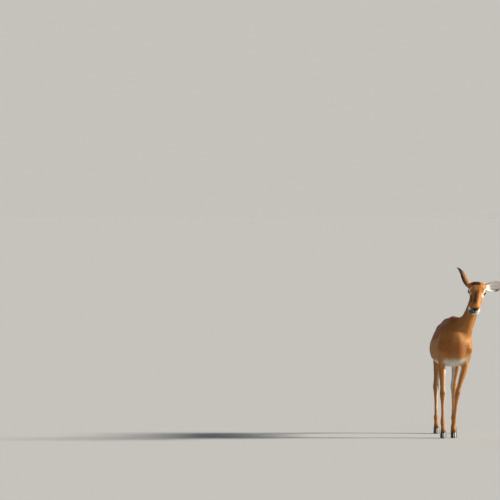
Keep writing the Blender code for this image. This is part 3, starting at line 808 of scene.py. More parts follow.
def neckColour(plan, normals, soft):
    # redder along the nape and down to the saddle, white at the throat
    height = plan[:, 2]
    nape = rise(0.30, 0.85, normals @ np.array((-0.2, 0.85, 0.45)))
    colour = mixed(plain("neck", plan), "nape", nape)
    colour = mixed(colour, "saddle", rise(-0.42, -0.21, plan[:, 1]) * rise(0.57, 0.69, height) * 0.96)
    throat = rise(0.42, 0.80, frontOfNeck(plan) + soft * 0.10) * rise(0.825, 0.905, height + soft * 0.012)
    return mixed(colour, "white", throat)


def glandTuft(plan, name, ragged=0):
    out, back = aroundLeg(plan, name)
    low, high, height = coatPattern["glandFrom"], coatPattern["glandTo"], plan[:, 2]
    behind = rise(1.25, 0.75, np.arctan2(np.abs(out), back))
    return behind * rise(low, low + 0.012, height + ragged) * rise(high, high - 0.022, height)


def legColour(plan, normals, soft, name):
    beside, height, aft = np.abs(plan[:, 0]), plan[:, 2], normals[:, 1]
    hind = name.startswith("hindleg")
    upper = rise(0.44, 0.56, height) if hind else rise(0.46, 0.54, height)
    colour = mixed(plain("leg", plan), "side", upper)
    line = coatPattern["saddleEdgeOnLegs"] + soft * coatPattern["edgeWave"]
    colour = mixed(colour, "saddle", rise(line - 0.012, line + 0.014, height) * 0.92)
    inward = normals[:, 0] * (-1 if name.endswith("left") else 1) + (0 if hind else 0.75) * aft
    colour = mixed(colour, "white", rise(0.25, 0.75, inward + soft * 0.12) * rise(0.26, 0.40, height))
    colour = mixed(colour, "white", rise(0.10, 0.6, inward) * 0.45 * rise(0.10, 0.2, height))
    if hind:
        rump = rise(0.35, 0.80, aft + soft * 0.06) * rise(0.40, 0.50, height) * rise(0.066, 0.052, beside)
        colour = mixed(colour, "white", rump)
        stripe = beside - coatPattern["rumpStripe"] - 0.006 * wobble(plan, 0.2, 3)
        stripe = bell(stripe, coatPattern["rumpStripeWidth"]) * rise(0.0, 0.35, aft)
        stripe *= rise(0.475, 0.530, height) * rise(0.735, 0.700, height)
        colour = mixed(colour, "black", rise(0.25, 0.6, stripe))
        colour = mixed(colour, "black", glandTuft(plan, name, soft * coatPattern["edgeWave"]))
    else:
        colour = mixed(colour, "dark", bell(height - 0.30, 0.03) * rise(0.2, 0.8, -aft) * 0.22)
    aboveHoof = height + aroundLeg(plan, name)[1] * 0.36
    return mixed(colour, "dark", rise(0.062, 0.046, aboveHoof) * 0.55)


tearStripesAndShade = [     # path from the eye's front corner, width and depth of colour; the right one, wider and darker, is partly painted shade
    ([(0.0410, 0.018, -0.006), (0.0380, 0.045, -0.011), (0.0340, 0.088, -0.012)], 0.0066, 0.62),
    # the right side's dark line, made wider and darker as painted shade on the face's shaded side
    ([(-0.0395, 0.018, 0.006), (-0.0360, 0.045, 0.005), (-0.0300, 0.090, 0.000)], 0.0100, 0.95),
]


def foreheadColour(head, normals, soft):
    # a dark crown patch and a dark bridge, both set toward the right side and darkened there partly as
    # painted shade, a reddish blaze, and the dark lines before the eyes, the right one partly painted shade
    middle, ahead, up = head[:, 0], head[:, 1], head[:, 2]
    colour = mixed(plain("face", head), "cheek", rise(0.006, -0.020, up) * rise(0.085, 0.02, ahead) * 0.8)
    colour = mixed(colour, "nape", rise(-0.045, -0.085, ahead) * rise(0.0, 0.03, up) * 0.7)
    # the crown patch is centred toward the right ear's root and made very dark, partly painted shade behind
    # the crown
    crown = bell(middle + 0.011, 0.028) * rise(-0.020, -0.032, ahead) * rise(-0.084, -0.070, ahead)
    crown *= rise(-0.004, 0.010, up)
    colour = mixed(colour, "crown", rise(0.25, 0.6, crown + soft * 0.06) * 0.96)
    # the dark bridge, partly a marking and partly painted shade: set toward the right side and widened onto
    # the side of the nose that lies in shade
    bridgeAndShade = bell(middle + 0.0035, 0.0125) * rise(0.002, 0.028, ahead) * rise(0.0, 0.4, normals[:, 2])
    bridgeAndShade *= (0.25 + 0.75 * rise(0.130, 0.098, ahead)) * rise(0.000, 0.045, ahead) ** 0.4
    colour = mixed(colour, "dark", bridgeAndShade)
    blaze = bell(middle, 0.020) * rise(-0.03, -0.01, ahead) * rise(0.03, 0.01, ahead)
    colour = mixed(colour, "nape", blaze * 0.35)
    for path, width, depth in tearStripesAndShade:
        colour = mixed(colour, "dark", bell(distanceTo(head, path), width) * depth)
    return colour


def eyeSurround(colour, head, side, soft):
    # a white ring, open at the corners, and the lids' black margin
    lengthwise, upward, size, out = lidPlane(head, side)
    facing = sided(head, side)[:, 0] > 0.01
    sector = np.degrees(np.arctan2(upward, lengthwise))
    reach = 0.66 + 0.72 * bell(sector - 100, 42)
    ring = rise(0.16, 0.28, out) * rise(reach + 0.25, reach - 0.15, out + soft * 0.10)
    gaps = 1 - 0.9 * bell(sector, 14) * rise(0.2, 0.5, out) - 0.9 * bell(np.abs(sector) - 180, 16)
    colour = mixed(colour, "faceWhite", ring * (size < 0.045) * facing * np.clip(gaps, 0, 1) * 0.93)
    margin = rise(0.17, 0.09, out) * (size < 0.024)
    corner = bell(lengthwise - 66, 11) * bell(upward + 1, 8) * (size < 0.032)
    return mixed(colour, "black", np.maximum(margin, corner) * facing)


def muzzleColour(colour, head, normals, soft):
    # white lips, chin and under-jaw, and the bare black skin of nose, nostrils and mouth
    side, ahead, up = np.abs(head[:, 0]), head[:, 1], head[:, 2]
    lipLine = -0.0165 - 0.020 * rise(0.142, 0.085, ahead)
    lip = rise(lipLine + 0.0035, lipLine - 0.0035, up + soft * 0.0015) * rise(0.074, 0.096, ahead)
    colour = mixed(colour, "faceWhite", lip)
    under = rise(0.30, 0.72, soft * 0.08 - normals[:, 2]) * rise(-0.030, -0.040, up)
    colour = mixed(colour, "faceWhite", under)
    pad = rise(0.0130, 0.0105, side) * rise(-0.0015, -0.0045, up) * rise(-0.0235, -0.0200, up)
    stem = rise(0.0062, 0.0040, side) * rise(-0.0395, -0.0375, up) * rise(-0.0120, -0.0160, up)
    front = rise(0.130, 0.136, ahead)
    naked = np.maximum(front * np.maximum(pad, stem), rise(0.40, 0.60, bell(marks["nostril"], 0.0038)))
    colour = mixed(colour, "nose", naked)
    seam = bell(marks["mouth"], 0.0024) * (ahead > 0.082)
    colour = mixed(colour, "lipSkin", rise(0.35, 0.75, seam))
    return colour, np.maximum(naked, rise(0.45, 0.8, seam))


def rumpAndTail(colour, plan, normals, soft):
    # white buttocks, a black line down the spine's end and down the tail
    across, along, height = np.abs(plan[:, 0]), plan[:, 1], plan[:, 2]
    rump = rise(0.30, 0.75, normals[:, 1] + soft * 0.06) * rise(0.27, 0.31, along)
    rump *= rise(0.072, 0.056, across) * weights["trunk"] * rise(0.765, 0.730, height)
    colour = mixed(colour, "white", rump)
    spine = bell(across, 0.010) * rise(0.27, 0.31, along) * weights["trunk"] * rise(0.60, 0.66, height)
    colour = mixed(colour, "black", spine)
    tail = mixed(plain("white", plan), "saddle", rise(0.62, 0.74, height) * 0.5 * rise(0.02, 0.008, across))
    stripe = rise(0.0125, 0.0080, across) * rise(0.475, 0.505, height)
    stripe *= rise(0.0, 0.5, normals[:, 1] + np.maximum(0, normals[:, 2]))
    tail = mixed(tail, "black", stripe)
    return blended(colour, tail, np.clip(weights["tail"] * 1.5, 0, 1)[:, None])


def paint(coords, normals):
    plan, head = coords - planShift, inHead(coords)
    soft = wobble(plan, 0.06, 11) * 0.5 + wobble(plan, 0.02, 12) * 0.3
    colour = trunkColour(plan, normals, soft)
    for name in legs:
        own = np.clip(weights[name] * 1.5, 0, 1)[:, None]
        colour = blended(colour, legColour(plan, normals, soft, name), own)
    own = np.clip(weights["neck"] * 1.15, 0, 1)[:, None]
    colour = blended(colour, neckColour(plan, normals, soft), own)

    headNormals = normals @ headAxes
    face = foreheadColour(head, headNormals, soft)
    for side in sides:
        face = eyeSurround(face, head, side, soft)
    face, bare = muzzleColour(face, head, headNormals, soft)
    own = rise(0.15, 0.75, weights["head"])
    colour = rumpAndTail(blended(colour, face, own[:, None]), plan, normals, soft)
    colour = colour * (1 + 0.05 * soft + 0.03 * wobble(plan, 0.17, 21))[:, None]
    return np.clip(colour, 0.004, 0.95), bare * own


coords, normals = coordsOf(skinMesh), normalsOf(skinMesh)
skinColour, skinBare = paint(coords, normals)
attribute(skinMesh, "coatColour", "FLOAT_COLOR", "POINT", skinColour)
attribute(skinMesh, "bare", "FLOAT", "POINT", skinBare)


# The lie of the coat, and the size of its locks

lieRounds = 8
lockSizes = {       # length and width
    "head": (0.0056, 0.00070),
    "neck": (0.0115, 0.00096),
    "trunk": (0.0140, 0.00113),
    "foreleg": (0.0085, 0.00092),
    "hindleg": (0.0092, 0.00096),
    "tail": (0.0300, 0.00150),
}
lockChanges = {
    "muzzleShorter": 0.45,       # shares of the length or width that are taken off
    "muzzleNarrower": 0.30,
    "shinShorter": 0.22,
    "hoofRimLonger": 0.0040,     # lengths that are added
    "earBaseLonger": 0.0050,
    "glandLonger": 0.016,
    "earBase": (0.047, -0.058, -0.010),
}
locksPerMetre = {       # locks to a square metre
    "head": 400000,
    "neck": 265000,
    "trunk": 150000,
    "tail": 360000,
    "lowerLegs": 285000,
    "muzzleExtra": 260000,
}


def flatTo(directions, normals):
    directions = directions - normals * np.sum(directions * normals, axis=1)[:, None]
    return directions / np.maximum(np.linalg.norm(directions, axis=1), 1e-6)[:, None]


def coatLie(plan, normals):
    # back along the trunk and face, down the neck, legs and tail
    lie, along = np.tile((0.0, 1.0, -0.10), (len(plan), 1)), plan[:, 1]
    ends = 1.6 * rise(-0.30, -0.40, along) + 1.8 * rise(0.27, 0.34, along)
    lie[:, 2] -= 0.40 * np.abs(normals[:, 0]) + ends
    lie = lie * weights["trunk"][:, None] + neckRun * weights["neck"][:, None]
    lie = lie + (-headAxes[:, 1] - headAxes[:, 2] * 0.18) * weights["head"][:, None]
    lie = lie + np.array((0, 0.22, -1.0)) * (weights["foreleg"] + weights["hindleg"])[:, None]
    lie = lie + np.array((0, 0.10, -1.0)) * weights["tail"][:, None]
    lie = flatTo(spread(flatTo(lie, normals), skinEdges, lieRounds), normals)
    tailEnd = np.clip(weights["tail"] * 1.5, 0, 1)[:, None] * 0.9
    return blended(lie, lie * 0.35 + np.array((0, 0, -1.0)), tailEnd)      # the tail's tuft hangs free


def lockSize(plan, head, glands):
    lengths = sum(weights[name] * length for name, (length, _) in lockSizes.items())
    widths = sum(weights[name] * width for name, (_, width) in lockSizes.items())
    muzzle = rise(0.02, 0.13, head[:, 1]) * weights["head"]
    lidNear = rise(0.026, 0.019, eyeDistance(head)) * weights["head"]
    lengths = lengths * (1 - lockChanges["muzzleShorter"] * np.maximum(muzzle, lidNear))
    widths = widths * (1 - lockChanges["muzzleNarrower"] * np.maximum(muzzle, lidNear))
    lengths = lengths * (1 - lockChanges["shinShorter"] * rise(0.34, 0.20, plan[:, 2]))
    lengths = lengths + lockChanges["hoofRimLonger"] * rise(0.068, 0.048, plan[:, 2])
    for side in sides:
        earBase = np.linalg.norm(head - sided(lockChanges["earBase"], side), axis=1)
        lengths = lengths + lockChanges["earBaseLonger"] * rise(0.036, 0.022, earBase)
    return lengths + glands * lockChanges["glandLonger"], widths


def lockDensity(plan, head, glands):
    density = sum(weights[name] * locksPerMetre[name] for name in ("head", "neck", "trunk", "tail"))
    lowerLegs = (locksPerMetre["lowerLegs"] - locksPerMetre["trunk"]) * rise(0.50, 0.36, plan[:, 2])
    density += (weights["foreleg"] + weights["hindleg"]) * (locksPerMetre["trunk"] + lowerLegs)
    density += weights["head"] * rise(0.02, 0.10, head[:, 1]) * locksPerMetre["muzzleExtra"]
    density *= 1 - rise(0.05, 0.35, skinBare)
    for side in sides:
        _, _, size, out = lidPlane(head, side)
        density = np.where((size < 0.030) & (out < 0.10) & (weights["head"] > 0.5), 0, density)
    return density * (1 + glands)


plan, head = coords - planShift, inHead(coords)
glands = sum(glandTuft(plan, name) * weights[name] for name in ("hindleg_left", "hindleg_right"))
lengths, widths = lockSize(plan, head, glands)
attribute(skinMesh, "lie", "FLOAT_VECTOR", "POINT", coatLie(plan, normals))
attribute(skinMesh, "lockLength", "FLOAT", "POINT", lengths)
attribute(skinMesh, "lockWidth", "FLOAT", "POINT", widths)
attribute(skinMesh, "lockDensity", "FLOAT", "POINT", lockDensity(plan, head, glands))


# The skin's own unwrap: each part rolled out round its axis, side by side on one sheet

sheetPlan = {       # left, low, right, high
    "trunk": (0.01, 0.01, 0.55, 0.58),
    "neck": (0.58, 0.01, 0.99, 0.29),
    "head": (0.58, 0.31, 0.99, 0.60),
    "foreleg_left": (0.01, 0.61, 0.19, 0.99),
    "foreleg_right": (0.21, 0.61, 0.39, 0.99),
    "hindleg_left": (0.41, 0.62, 0.62, 0.99),
    "hindleg_right": (0.64, 0.62, 0.85, 0.99),
    "tail": (0.87, 0.62, 0.99, 0.99),
}


def rolledOut(plan, head, name):
    # an angle round the part's axis and a distance along it
    if name == "head":
        return np.arctan2(head[:, 0], head[:, 2] + 0.015), head[:, 1]
    if name == "trunk":
        return np.arctan2(plan[:, 0], plan[:, 2] - 0.635), plan[:, 1]
    if name == "neck":
        run, axis = neckAxis(plan)
        away = plan - axis[:, :3]
        return np.arctan2(away[:, 0], away[:, 1]), run
    if name == "tail":
        return np.arctan2(plan[:, 0], plan[:, 1] - 0.395), plan[:, 2]
    out, back = aroundLeg(plan, name)
    return np.arctan2(out, back), plan[:, 2]


def unwrap(mesh, nodeOf):
    loops = gathered(mesh.loops, "vertex_index", kind=np.int32)
    starts = gathered(mesh.polygons, "loop_start", kind=np.int32)
    totals = gathered(mesh.polygons, "loop_total", kind=np.int32)
    faceOf = np.repeat(np.arange(len(starts)), totals)
    faceNode = nodeOf[loops[starts]]
    plan, head = coordsOf(mesh) - planShift, inHead(coordsOf(mesh))
    sheet = np.zeros((len(loops), 2))
    for index, name in enumerate(skinPlan["flesh"]):
        angle, run = rolledOut(plan, head, name)
        own = faceNode[faceOf] == index
        first = angle[loops[starts]][faceOf]
        corner = first + (angle[loops] - first + math.pi) % math.tau - math.pi
        left, low, right, high = sheetPlan[name]
        reach = run[loops][own]
        sheet[own, 0] = left + (right - left) * (0.5 + corner[own] / (math.tau * 1.06))
        sheet[own, 1] = low + (high - low) * (reach - reach.min()) / (reach.max() - reach.min())
    mesh.uv_layers.new(name="OFBake").data.foreach_set("uv", sheet.astype(np.float32).ravel())
    return faceNode


coatPatches = [
    "Head", "Neck", "Forequarters", "LeftSide", "RightSide", "Hindquarters", "Forelegs", "HindLegs", "Tail",
]


def patchOf(flesh, centres):
    # which piece of the coat each face belongs to: the first one here that fits
    across, along, height = centres.T
    hind = np.char.startswith(flesh, "hindleg")
    fits = {
        "Head": flesh == "head",
        "Neck": flesh == "neck",
        "Tail": flesh == "tail",
        "Forelegs": np.char.startswith(flesh, "foreleg"),
        "HindLegs": hind & (height <= 0.45),
        "Hindquarters": hind | (along > 0.20),
        "Forequarters": along < -0.13,
        "RightSide": across < 0,
    }
    numbers = [coatPatches.index(name) for name in fits]
    return np.select(list(fits.values()), numbers, coatPatches.index("LeftSide"))


flesh = np.array(skinPlan["flesh"])[unwrap(skinMesh, nodeOf)]
centres = gathered(skinMesh.polygons, "center", 3) - planShift
attribute(skinMesh, "coatPatch", "INT", "FACE", patchOf(flesh, centres))
print("markings and lie set")


# Materials

def feed(tree, node, sockets):
    # gives each socket a value, or a link from another node's socket
    for socket, value in sockets.items():
        if isinstance(value, bpy.types.NodeSocket):
            tree.links.new(value, node.inputs[socket])
        else:
            node.inputs[socket].default_value = value


def added(tree, kind, sockets=None, **settings):
    node = tree.nodes.new(kind)
    for key, value in settings.items():
        setattr(node, key, value)
    feed(tree, node, sockets or {})
    return node


def finish(name, roughness, **sockets):
    material = bpy.data.materials.new(name)
    material.use_nodes = True
    shader = material.node_tree.nodes["Principled BSDF"]
    shader.inputs["Roughness"].default_value = roughness
    for socket, value in sockets.items():
        shader.inputs[socket.replace("_", " ")].default_value = value
    return material, material.node_tree, shader


def readAttribute(tree, name, output="Color"):
    return added(tree, "ShaderNodeAttribute", attribute_name=name).outputs[output]


def shaderMath(tree, operation, first, second):
    return added(tree, "ShaderNodeMath", {0: first, 1: second}, operation=operation).outputs[0]


def objectPlace(tree):
    return added(tree, "ShaderNodeTexCoord").outputs["Object"]


def shaderNoise(tree, size, detail, stretch=(1, 1, 1)):
    mapping = added(tree, "ShaderNodeMapping", {"Vector": objectPlace(tree), "Scale": stretch})
    sockets = {"Vector": mapping.outputs["Vector"], "Scale": 1 / size, "Detail": detail}
    return added(tree, "ShaderNodeTexNoise", sockets).outputs["Fac"]


def pebbles(tree, scale):
    sockets = {"Vector": objectPlace(tree), "Scale": scale}
    return added(tree, "ShaderNodeTexVoronoi", sockets).outputs["Distance"]


def ranged(tree, share, low, high):
    # a share that runs from 0 to 1, made to run from low to high
    sockets = {"Value": share, "To Min": low, "To Max": high}
    return added(tree, "ShaderNodeMapRange", sockets).outputs["Result"]


def tinted(tree, colour, share, low, high):
    # the colour made darker or lighter
    sockets = {0: colour, "Scale": ranged(tree, share, low, high)}
    return added(tree, "ShaderNodeVectorMath", sockets, operation="SCALE").outputs["Vector"]


def bump(tree, shader, height, distance, strength):
    node = added(tree, "ShaderNodeBump", {"Height": height, "Distance": distance, "Strength": strength})
    feed(tree, shader, {"Normal": node.outputs["Normal"]})


def skinFinish():
    # short hair as fine streaks; bare skin on the nose and lips is smoother and pebbled
    material, tree, shader = finish(
        "shortHair", 0.62, Sheen_Weight=0.04, Sheen_Roughness=0.45, Specular_IOR_Level=0.25,
    )
    lengthwise = shaderNoise(tree, 0.0011, 4, (1, 0.16, 0.75))
    downward = shaderNoise(tree, 0.0010, 4, (1, 1, 0.14))
    hair = shaderMath(tree, "MULTIPLY", shaderMath(tree, "ADD", lengthwise, downward), 0.5)
    patches = shaderNoise(tree, 0.018, 5)
    colour = tinted(tree, readAttribute(tree, "coatColour"), hair, 0.76, 1.22)
    bare = readAttribute(tree, "bare", "Fac")
    feed(tree, shader, {
        "Base Color": tinted(tree, colour, patches, 0.88, 1.12),
        "Roughness": ranged(tree, bare, 0.66, 0.34),
    })
    pebbled = shaderMath(tree, "MULTIPLY", pebbles(tree, 620), bare)
    hairy = shaderMath(tree, "MULTIPLY", hair, shaderMath(tree, "SUBTRACT", 1.0, bare))
    bump(tree, shader, shaderMath(tree, "ADD", pebbled, hairy), 0.0011, 0.9)
    return material


def coatFinish():
    material, tree, shader = finish(
        "coatHair", 0.55, Sheen_Weight=0.04, Sheen_Roughness=0.4, Specular_IOR_Level=0.24,
    )
    colour = tinted(tree, readAttribute(tree, "coatColour"), readAttribute(tree, "tone", "Fac"), 0.87, 1.14)
    colour = tinted(tree, colour, readAttribute(tree, "reach", "Fac"), 0.88, 1.07)
    feed(tree, shader, {"Base Color": colour})
    bump(tree, shader, shaderNoise(tree, 0.0016, 3, (1, 0.3, 0.5)), 0.0004, 0.5)
    return material


shortHair = skinFinish()
coatHair = coatFinish()
skinMesh.materials.clear()
skinMesh.materials.append(shortHair)


# Locks of the coat, spread over a surface by a node tree

coat = {
    "seed": 7,
    "lift": math.radians(2.9),
    "stray": math.radians(9),
    "thickness": 0.34,           # of the lock's width
    "patchSize": 0.003,
}
coatChanges = {
    "Head": {"lift": math.radians(3.0)},
    "Forelegs": {"lift": math.radians(3.0)},
    "HindLegs": {"lift": math.radians(3.0)},
    "Tail": {"stray": math.radians(6)},
}
lockAttributes = ("lie", "lockLength", "lockWidth", "lockDensity", "coatPatch", "rootPlace")


def dropAttributes(mesh, names):
    for name in names:
        if name in mesh.attributes:
            mesh.attributes.remove(mesh.attributes[name])


def lockMesh():
    # one lock, 1 long and 1 wide: a thin diamond with a ridge
    points = [(0, 0, -0.10), (0.40, 0.50, 0.10), (0.40, -0.50, 0.10), (0.44, 0, 0.85), (1, 0, 0.25)]
    faces = [(0, 3, 1), (0, 2, 3), (4, 1, 3), (4, 3, 2), (0, 1, 2), (4, 2, 1)]
    mesh = meshFrom("lock", points, faces)
    rim = [tuple(sorted(edge.vertices)) in ((0, 1), (0, 2), (1, 4), (2, 4)) for edge in mesh.edges]
    mesh.attributes.new("sharp_edge", "BOOLEAN", "EDGE").data.foreach_set("value", rim)
    x, y, z = np.array(points).T
    attribute(mesh, "reach", "FLOAT", "POINT", x)
    attribute(mesh, "lockSpot", "FLOAT_VECTOR", "POINT", np.stack((x - 0.5, y * 0.9 + z * 0.12, z * 0), 1))
    return mesh


def coatTree():
    tree = bpy.data.node_groups.new("coatLocks", "GeometryNodeTree")
    face = tree.interface
    face.new_socket("Geometry", in_out="INPUT", socket_type="NodeSocketGeometry")
    for name, kind in (
        ("Lock", "Object"), ("Finish", "Material"), ("Patch", "Int"), ("Per Square Metre", "Float"),
        ("Seed", "Int"), ("Lift", "Float"), ("Stray", "Float"), ("Thickness", "Float"),
        ("Patch Size", "Float"),
    ):
        face.new_socket(name, in_out="INPUT", socket_type=f"NodeSocket{kind}")
    face.new_socket("Geometry", in_out="OUTPUT", socket_type="NodeSocketGeometry")
    given = tree.nodes.new("NodeGroupInput").outputs

    def made(kind, output, sockets=None, **settings):
        return added(tree, kind, sockets, **settings).outputs[output]

    def named(name, kind="FLOAT"):
        return made("GeometryNodeInputNamedAttribute", "Attribute", {"Name": name}, data_type=kind)

    def calc(operation, first, second):
        return made("ShaderNodeMath", 0, {0: first, 1: second}, operation=operation)

    def chance(low, high, step):
        seed = calc("ADD", given["Seed"], step)
        node = added(tree, "FunctionNodeRandomValue", {"Seed": seed}, data_type="FLOAT")
        floats = [socket for socket in node.inputs if socket.type == "VALUE"]
        floats[0].default_value, floats[1].default_value = low, high
        return next(socket for socket in node.outputs if socket.type == "VALUE")

    def stored(geometry, name, kind, domain, value):
        sockets = {"Geometry": geometry, "Name": name, "Value": value}
        return made("GeometryNodeStoreNamedAttribute", "Geometry", sockets, data_type=kind, domain=domain)

    same = added(tree, "FunctionNodeCompare", data_type="INT", operation="EQUAL")
    ints = [socket for socket in same.inputs if socket.type == "INT"]
    tree.links.new(named("coatPatch", "INT"), ints[0])
    tree.links.new(given["Patch"], ints[1])
    scatter = added(tree, "GeometryNodeDistributePointsOnFaces", distribute_method="RANDOM")
    feed(tree, scatter, {
        "Mesh": given["Geometry"], "Selection": same.outputs["Result"], "Seed": given["Seed"],
        "Density": calc("MULTIPLY", given["Per Square Metre"], named("lockDensity")),
    })

    # each lock points along the lie, flat on the skin, then lifts and strays a little
    align, spin = "FunctionNodeAlignRotationToVector", "Rotation"
    along = made(align, spin, {"Vector": named("lie", "FLOAT_VECTOR")}, axis="X")
    sockets = {"Rotation": along, "Vector": scatter.outputs["Normal"]}
    upright = made(align, spin, sockets, axis="Z", pivot_axis="X")
    bend = made("ShaderNodeCombineXYZ", "Vector", {
        "Y": calc("MULTIPLY", given["Lift"], chance(-1.5, -0.55, 1)),
        "Z": calc("MULTIPLY", given["Stray"], chance(-1.0, 1.0, 2)),
    })
    bend = made("FunctionNodeEulerToRotation", "Rotation", {"Euler": bend})
    sockets = {"Rotation": upright, "Rotate By": bend}
    turned = made("FunctionNodeRotateRotation", "Rotation", sockets, rotation_space="LOCAL")

    size = made("ShaderNodeCombineXYZ", "Vector", {
        "X": calc("MULTIPLY", named("lockLength"), chance(0.70, 1.25, 3)),
        "Y": calc("MULTIPLY", named("lockWidth"), chance(0.75, 1.30, 4)),
        "Z": calc("MULTIPLY", named("lockWidth"), given["Thickness"]),
    })
    model = made("GeometryNodeObjectInfo", "Geometry", {"Object": given["Lock"]})
    copies = made("GeometryNodeInstanceOnPoints", "Instances", {
        "Points": scatter.outputs["Points"], "Instance": model, "Rotation": turned, "Scale": size,
    })
    toned = stored(copies, "tone", "FLOAT", "INSTANCE", chance(0.0, 1.0, 5))
    real = made("GeometryNodeRealizeInstances", "Geometry", {"Geometry": toned})
    sockets = {0: named("lockSpot", "FLOAT_VECTOR"), "Scale": given["Patch Size"]}
    shift = made("ShaderNodeVectorMath", "Vector", sockets, operation="SCALE")
    sockets = {0: named("rootPlace", "FLOAT_VECTOR"), 1: shift}
    place = made("ShaderNodeVectorMath", "Vector", sockets, operation="ADD")
    mapped = stored(real, "OFBake", "FLOAT2", "CORNER", place)
    dressed = made("GeometryNodeSetMaterial", "Geometry", {"Geometry": mapped, "Material": given["Finish"]})
    added(tree, "NodeGroupOutput", {0: dressed})
    return tree


def keepRootPlace(mesh):
    # the unwrap's place at each corner, under a name that the locks carry along
    sheet = gathered(mesh.uv_layers["OFBake"].data, "uv", 2, np.float32)
    sheet = np.hstack((sheet, np.zeros((len(mesh.loops), 1), np.float32)))
    attribute(mesh, "rootPlace", "FLOAT_VECTOR", "CORNER", sheet)


lockTree = coatTree()
lockShape = newObject("lock", lockMesh())
lockShape.hide_render = True


def grownCoat(name, source, patchIndex, seed, perSquareMetre=1.0, **changes):
    grower = newObject(name + "Grower", source)
    growth = grower.modifiers.new("coat", "NODES")
    growth.node_group = lockTree
    plan = {**coat, **changes}
    values = {
        "Lock": lockShape, "Finish": coatHair, "Patch": patchIndex, "Per Square Metre": float(perSquareMetre),
        "Seed": seed, "Lift": plan["lift"], "Stray": plan["stray"], "Thickness": plan["thickness"],
        "Patch Size": plan["patchSize"],
    }
    for socket in lockTree.interface.items_tree:
        if socket.name in values:
            growth[socket.identifier] = values[socket.name]
    mesh = modified(grower)
    bpy.data.objects.remove(grower)
    mesh.name = name
    dropAttributes(mesh, (*lockAttributes, "lockSpot", "bare"))
    mesh.shade_smooth()
    piece = newObject(name, mesh)
    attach(piece, "root")
    return piece


keepRootPlace(skinMesh)
for index, name in enumerate(coatPatches):
    piece = grownCoat("coat" + name, skinMesh, index, coat["seed"] + 100 * index, **coatChanges.get(name, {}))
    print("coat", name, len(piece.data.polygons) // len(lockShape.data.polygons), "locks")

dropAttributes(skinMesh, lockAttributes)
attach(skin, "root")
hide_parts(*skinPlan["flesh"])
print("coat grown")


# Ears: a cupped leaf each, thinner to its rim, ribbed inside

ears = {
    "length": 0.150,
    "width": 0.102,
    "roll": 128,                 # degrees from the middle to each rim, at the root
    "rootWidth": 0.52,
    "sunk": 0.006,
    "rootDeeper": 0.010,
    "rows": 64,
    "columns": 41,
    "wall": (0.0024, 0.0011),    # thickest, and at the rims and the tip
    "ribs": 9.5,                 # radians of the ribs' wave from the middle to each rim
    "ribHeight": 0.0011,
    "left": {
        "root": (0.0473, -0.0588, -0.0109), "along": (0.147, 0.032, 0.017), "faces": (0.17, -1.0, -0.02),
        "unroll": 82, "bow": 0.004,
    },
    "right": {
        "root": (-0.0539, -0.0634, -0.0186), "along": (-0.084, 0.022, 0.128), "faces": (-0.82, -0.26, -0.50),
        "unroll": 80, "bow": -0.013,
    },
    "inside": tint(246, 240, 234),
    "locks": 12500,
    "lift": math.radians(6),
    "seed": 900,
}


def earPoint(plan, axes, layer, share, place):
    # share runs from root to tip, place from rim to rim; layer 1 is the outer side, -1 the inner
    along, across, faces = axes
    reach = 0.996 * share + 0.002
    swell = math.sin(math.pi * (share * 0.86 + 0.04))
    half = ears["width"] / 2 * (ears["rootWidth"] + (1 - ears["rootWidth"]) * swell)
    half *= (1 - reach**3.2) ** 0.75
    half *= 1 + 0.010 * math.sin(share * 31) * share
    curl = math.radians(ears["roll"] - plan["unroll"] * share**0.6)
    outward = across * math.sin(curl * place) - faces * math.cos(curl * place)
    rim = abs(place) ** 3
    wall = ears["wall"][0] + (ears["wall"][1] - ears["wall"][0]) * max(rim, share)
    deeper = ears["sunk"] + ears["rootDeeper"] * (1 - share) ** 3
    bow = plan["bow"] * math.sin(math.pi * share)
    middle = fromHead(plan["root"]) + along * (ears["length"] * share - deeper) - faces * bow
    ridges = 0.0
    if layer < 0:
        ridges = ears["ribHeight"] * math.cos(place * ears["ribs"]) * (1 - rim)
        ridges *= math.sin(math.pi * min(1, share * 1.15))
    roll = 0.0012 * rim * (1 - share)
    return middle + outward * (half / curl + layer * wall / 2 - ridges) - outward * roll


def outerEar(share, tip, rim, nearRimShade):
    # colour, how dark, and the locks' length, width and density
    colour = blended(coatColours["face"] * 0.94, coatColours["dark"], 0.35 * rise(0.35, 0.8, share))
    return colour, max(tip, rim * 0.85, nearRimShade**2 * 0.5), (0.0070, 0.00095, 1.0)


def innerEar(share, place, tip, nearRimShade, right):
    upward = place if right else -place
    streak = max(0.0, math.cos(place * ears["ribs"] + 0.4)) ** 3
    streak *= rise(0.16, 0.34, share) * rise(0.86, 0.66, share)
    upper = rise(0.45, 0.85, upward) * rise(0.42, 0.10, share)
    blotch = rise(0.60, 0.80, -upward) * bell(share - 0.54, 0.13)
    # painted shade: on the right ear only, the far wall inside the cup is darkened where it lies in shade
    farWallShade = rise(0.25, 0.60, -place) * rise(0.04, 0.14, share) * right
    colour = blended(ears["inside"], coatColours["dark"], 0.86 * farWallShade)
    long = bell(abs(place) - 0.70, 0.30) * rise(0.95, 0.75, share)
    dark = max(tip, streak * 0.22, upper * 0.7, blotch * 0.85, nearRimShade * 0.85)
    return colour, dark, (0.0060 + 0.0150 * long, 0.0008, 0.55 + 0.6 * long)


def earHair(side, layer, share, place):
    right = side == "right"
    noise = 0.06 * math.sin(31 * share + 7 * place) + 0.05 * math.sin(57 * share - 13 * place)
    tip = rise(0.74, 0.86, share + noise * 0.5 + 0.05 * abs(place))
    rim = rise(0.90, 0.99, abs(place) + noise * 0.3) * rise(0.15, 0.4, share)
    # painted shade: on the right ear only, a dark band inside its near rim, where the cup lies in shade
    nearRimShade = rise(0.30, 0.75, place + noise * 0.5) * rise(0.10, 0.25, share) * right
    if layer > 0:
        colour, dark, size = outerEar(share, tip, rim, nearRimShade)
    else:
        colour, dark, size = innerEar(share, place, tip, nearRimShade, right)
    return blended(colour, coatColours["black"], dark), size


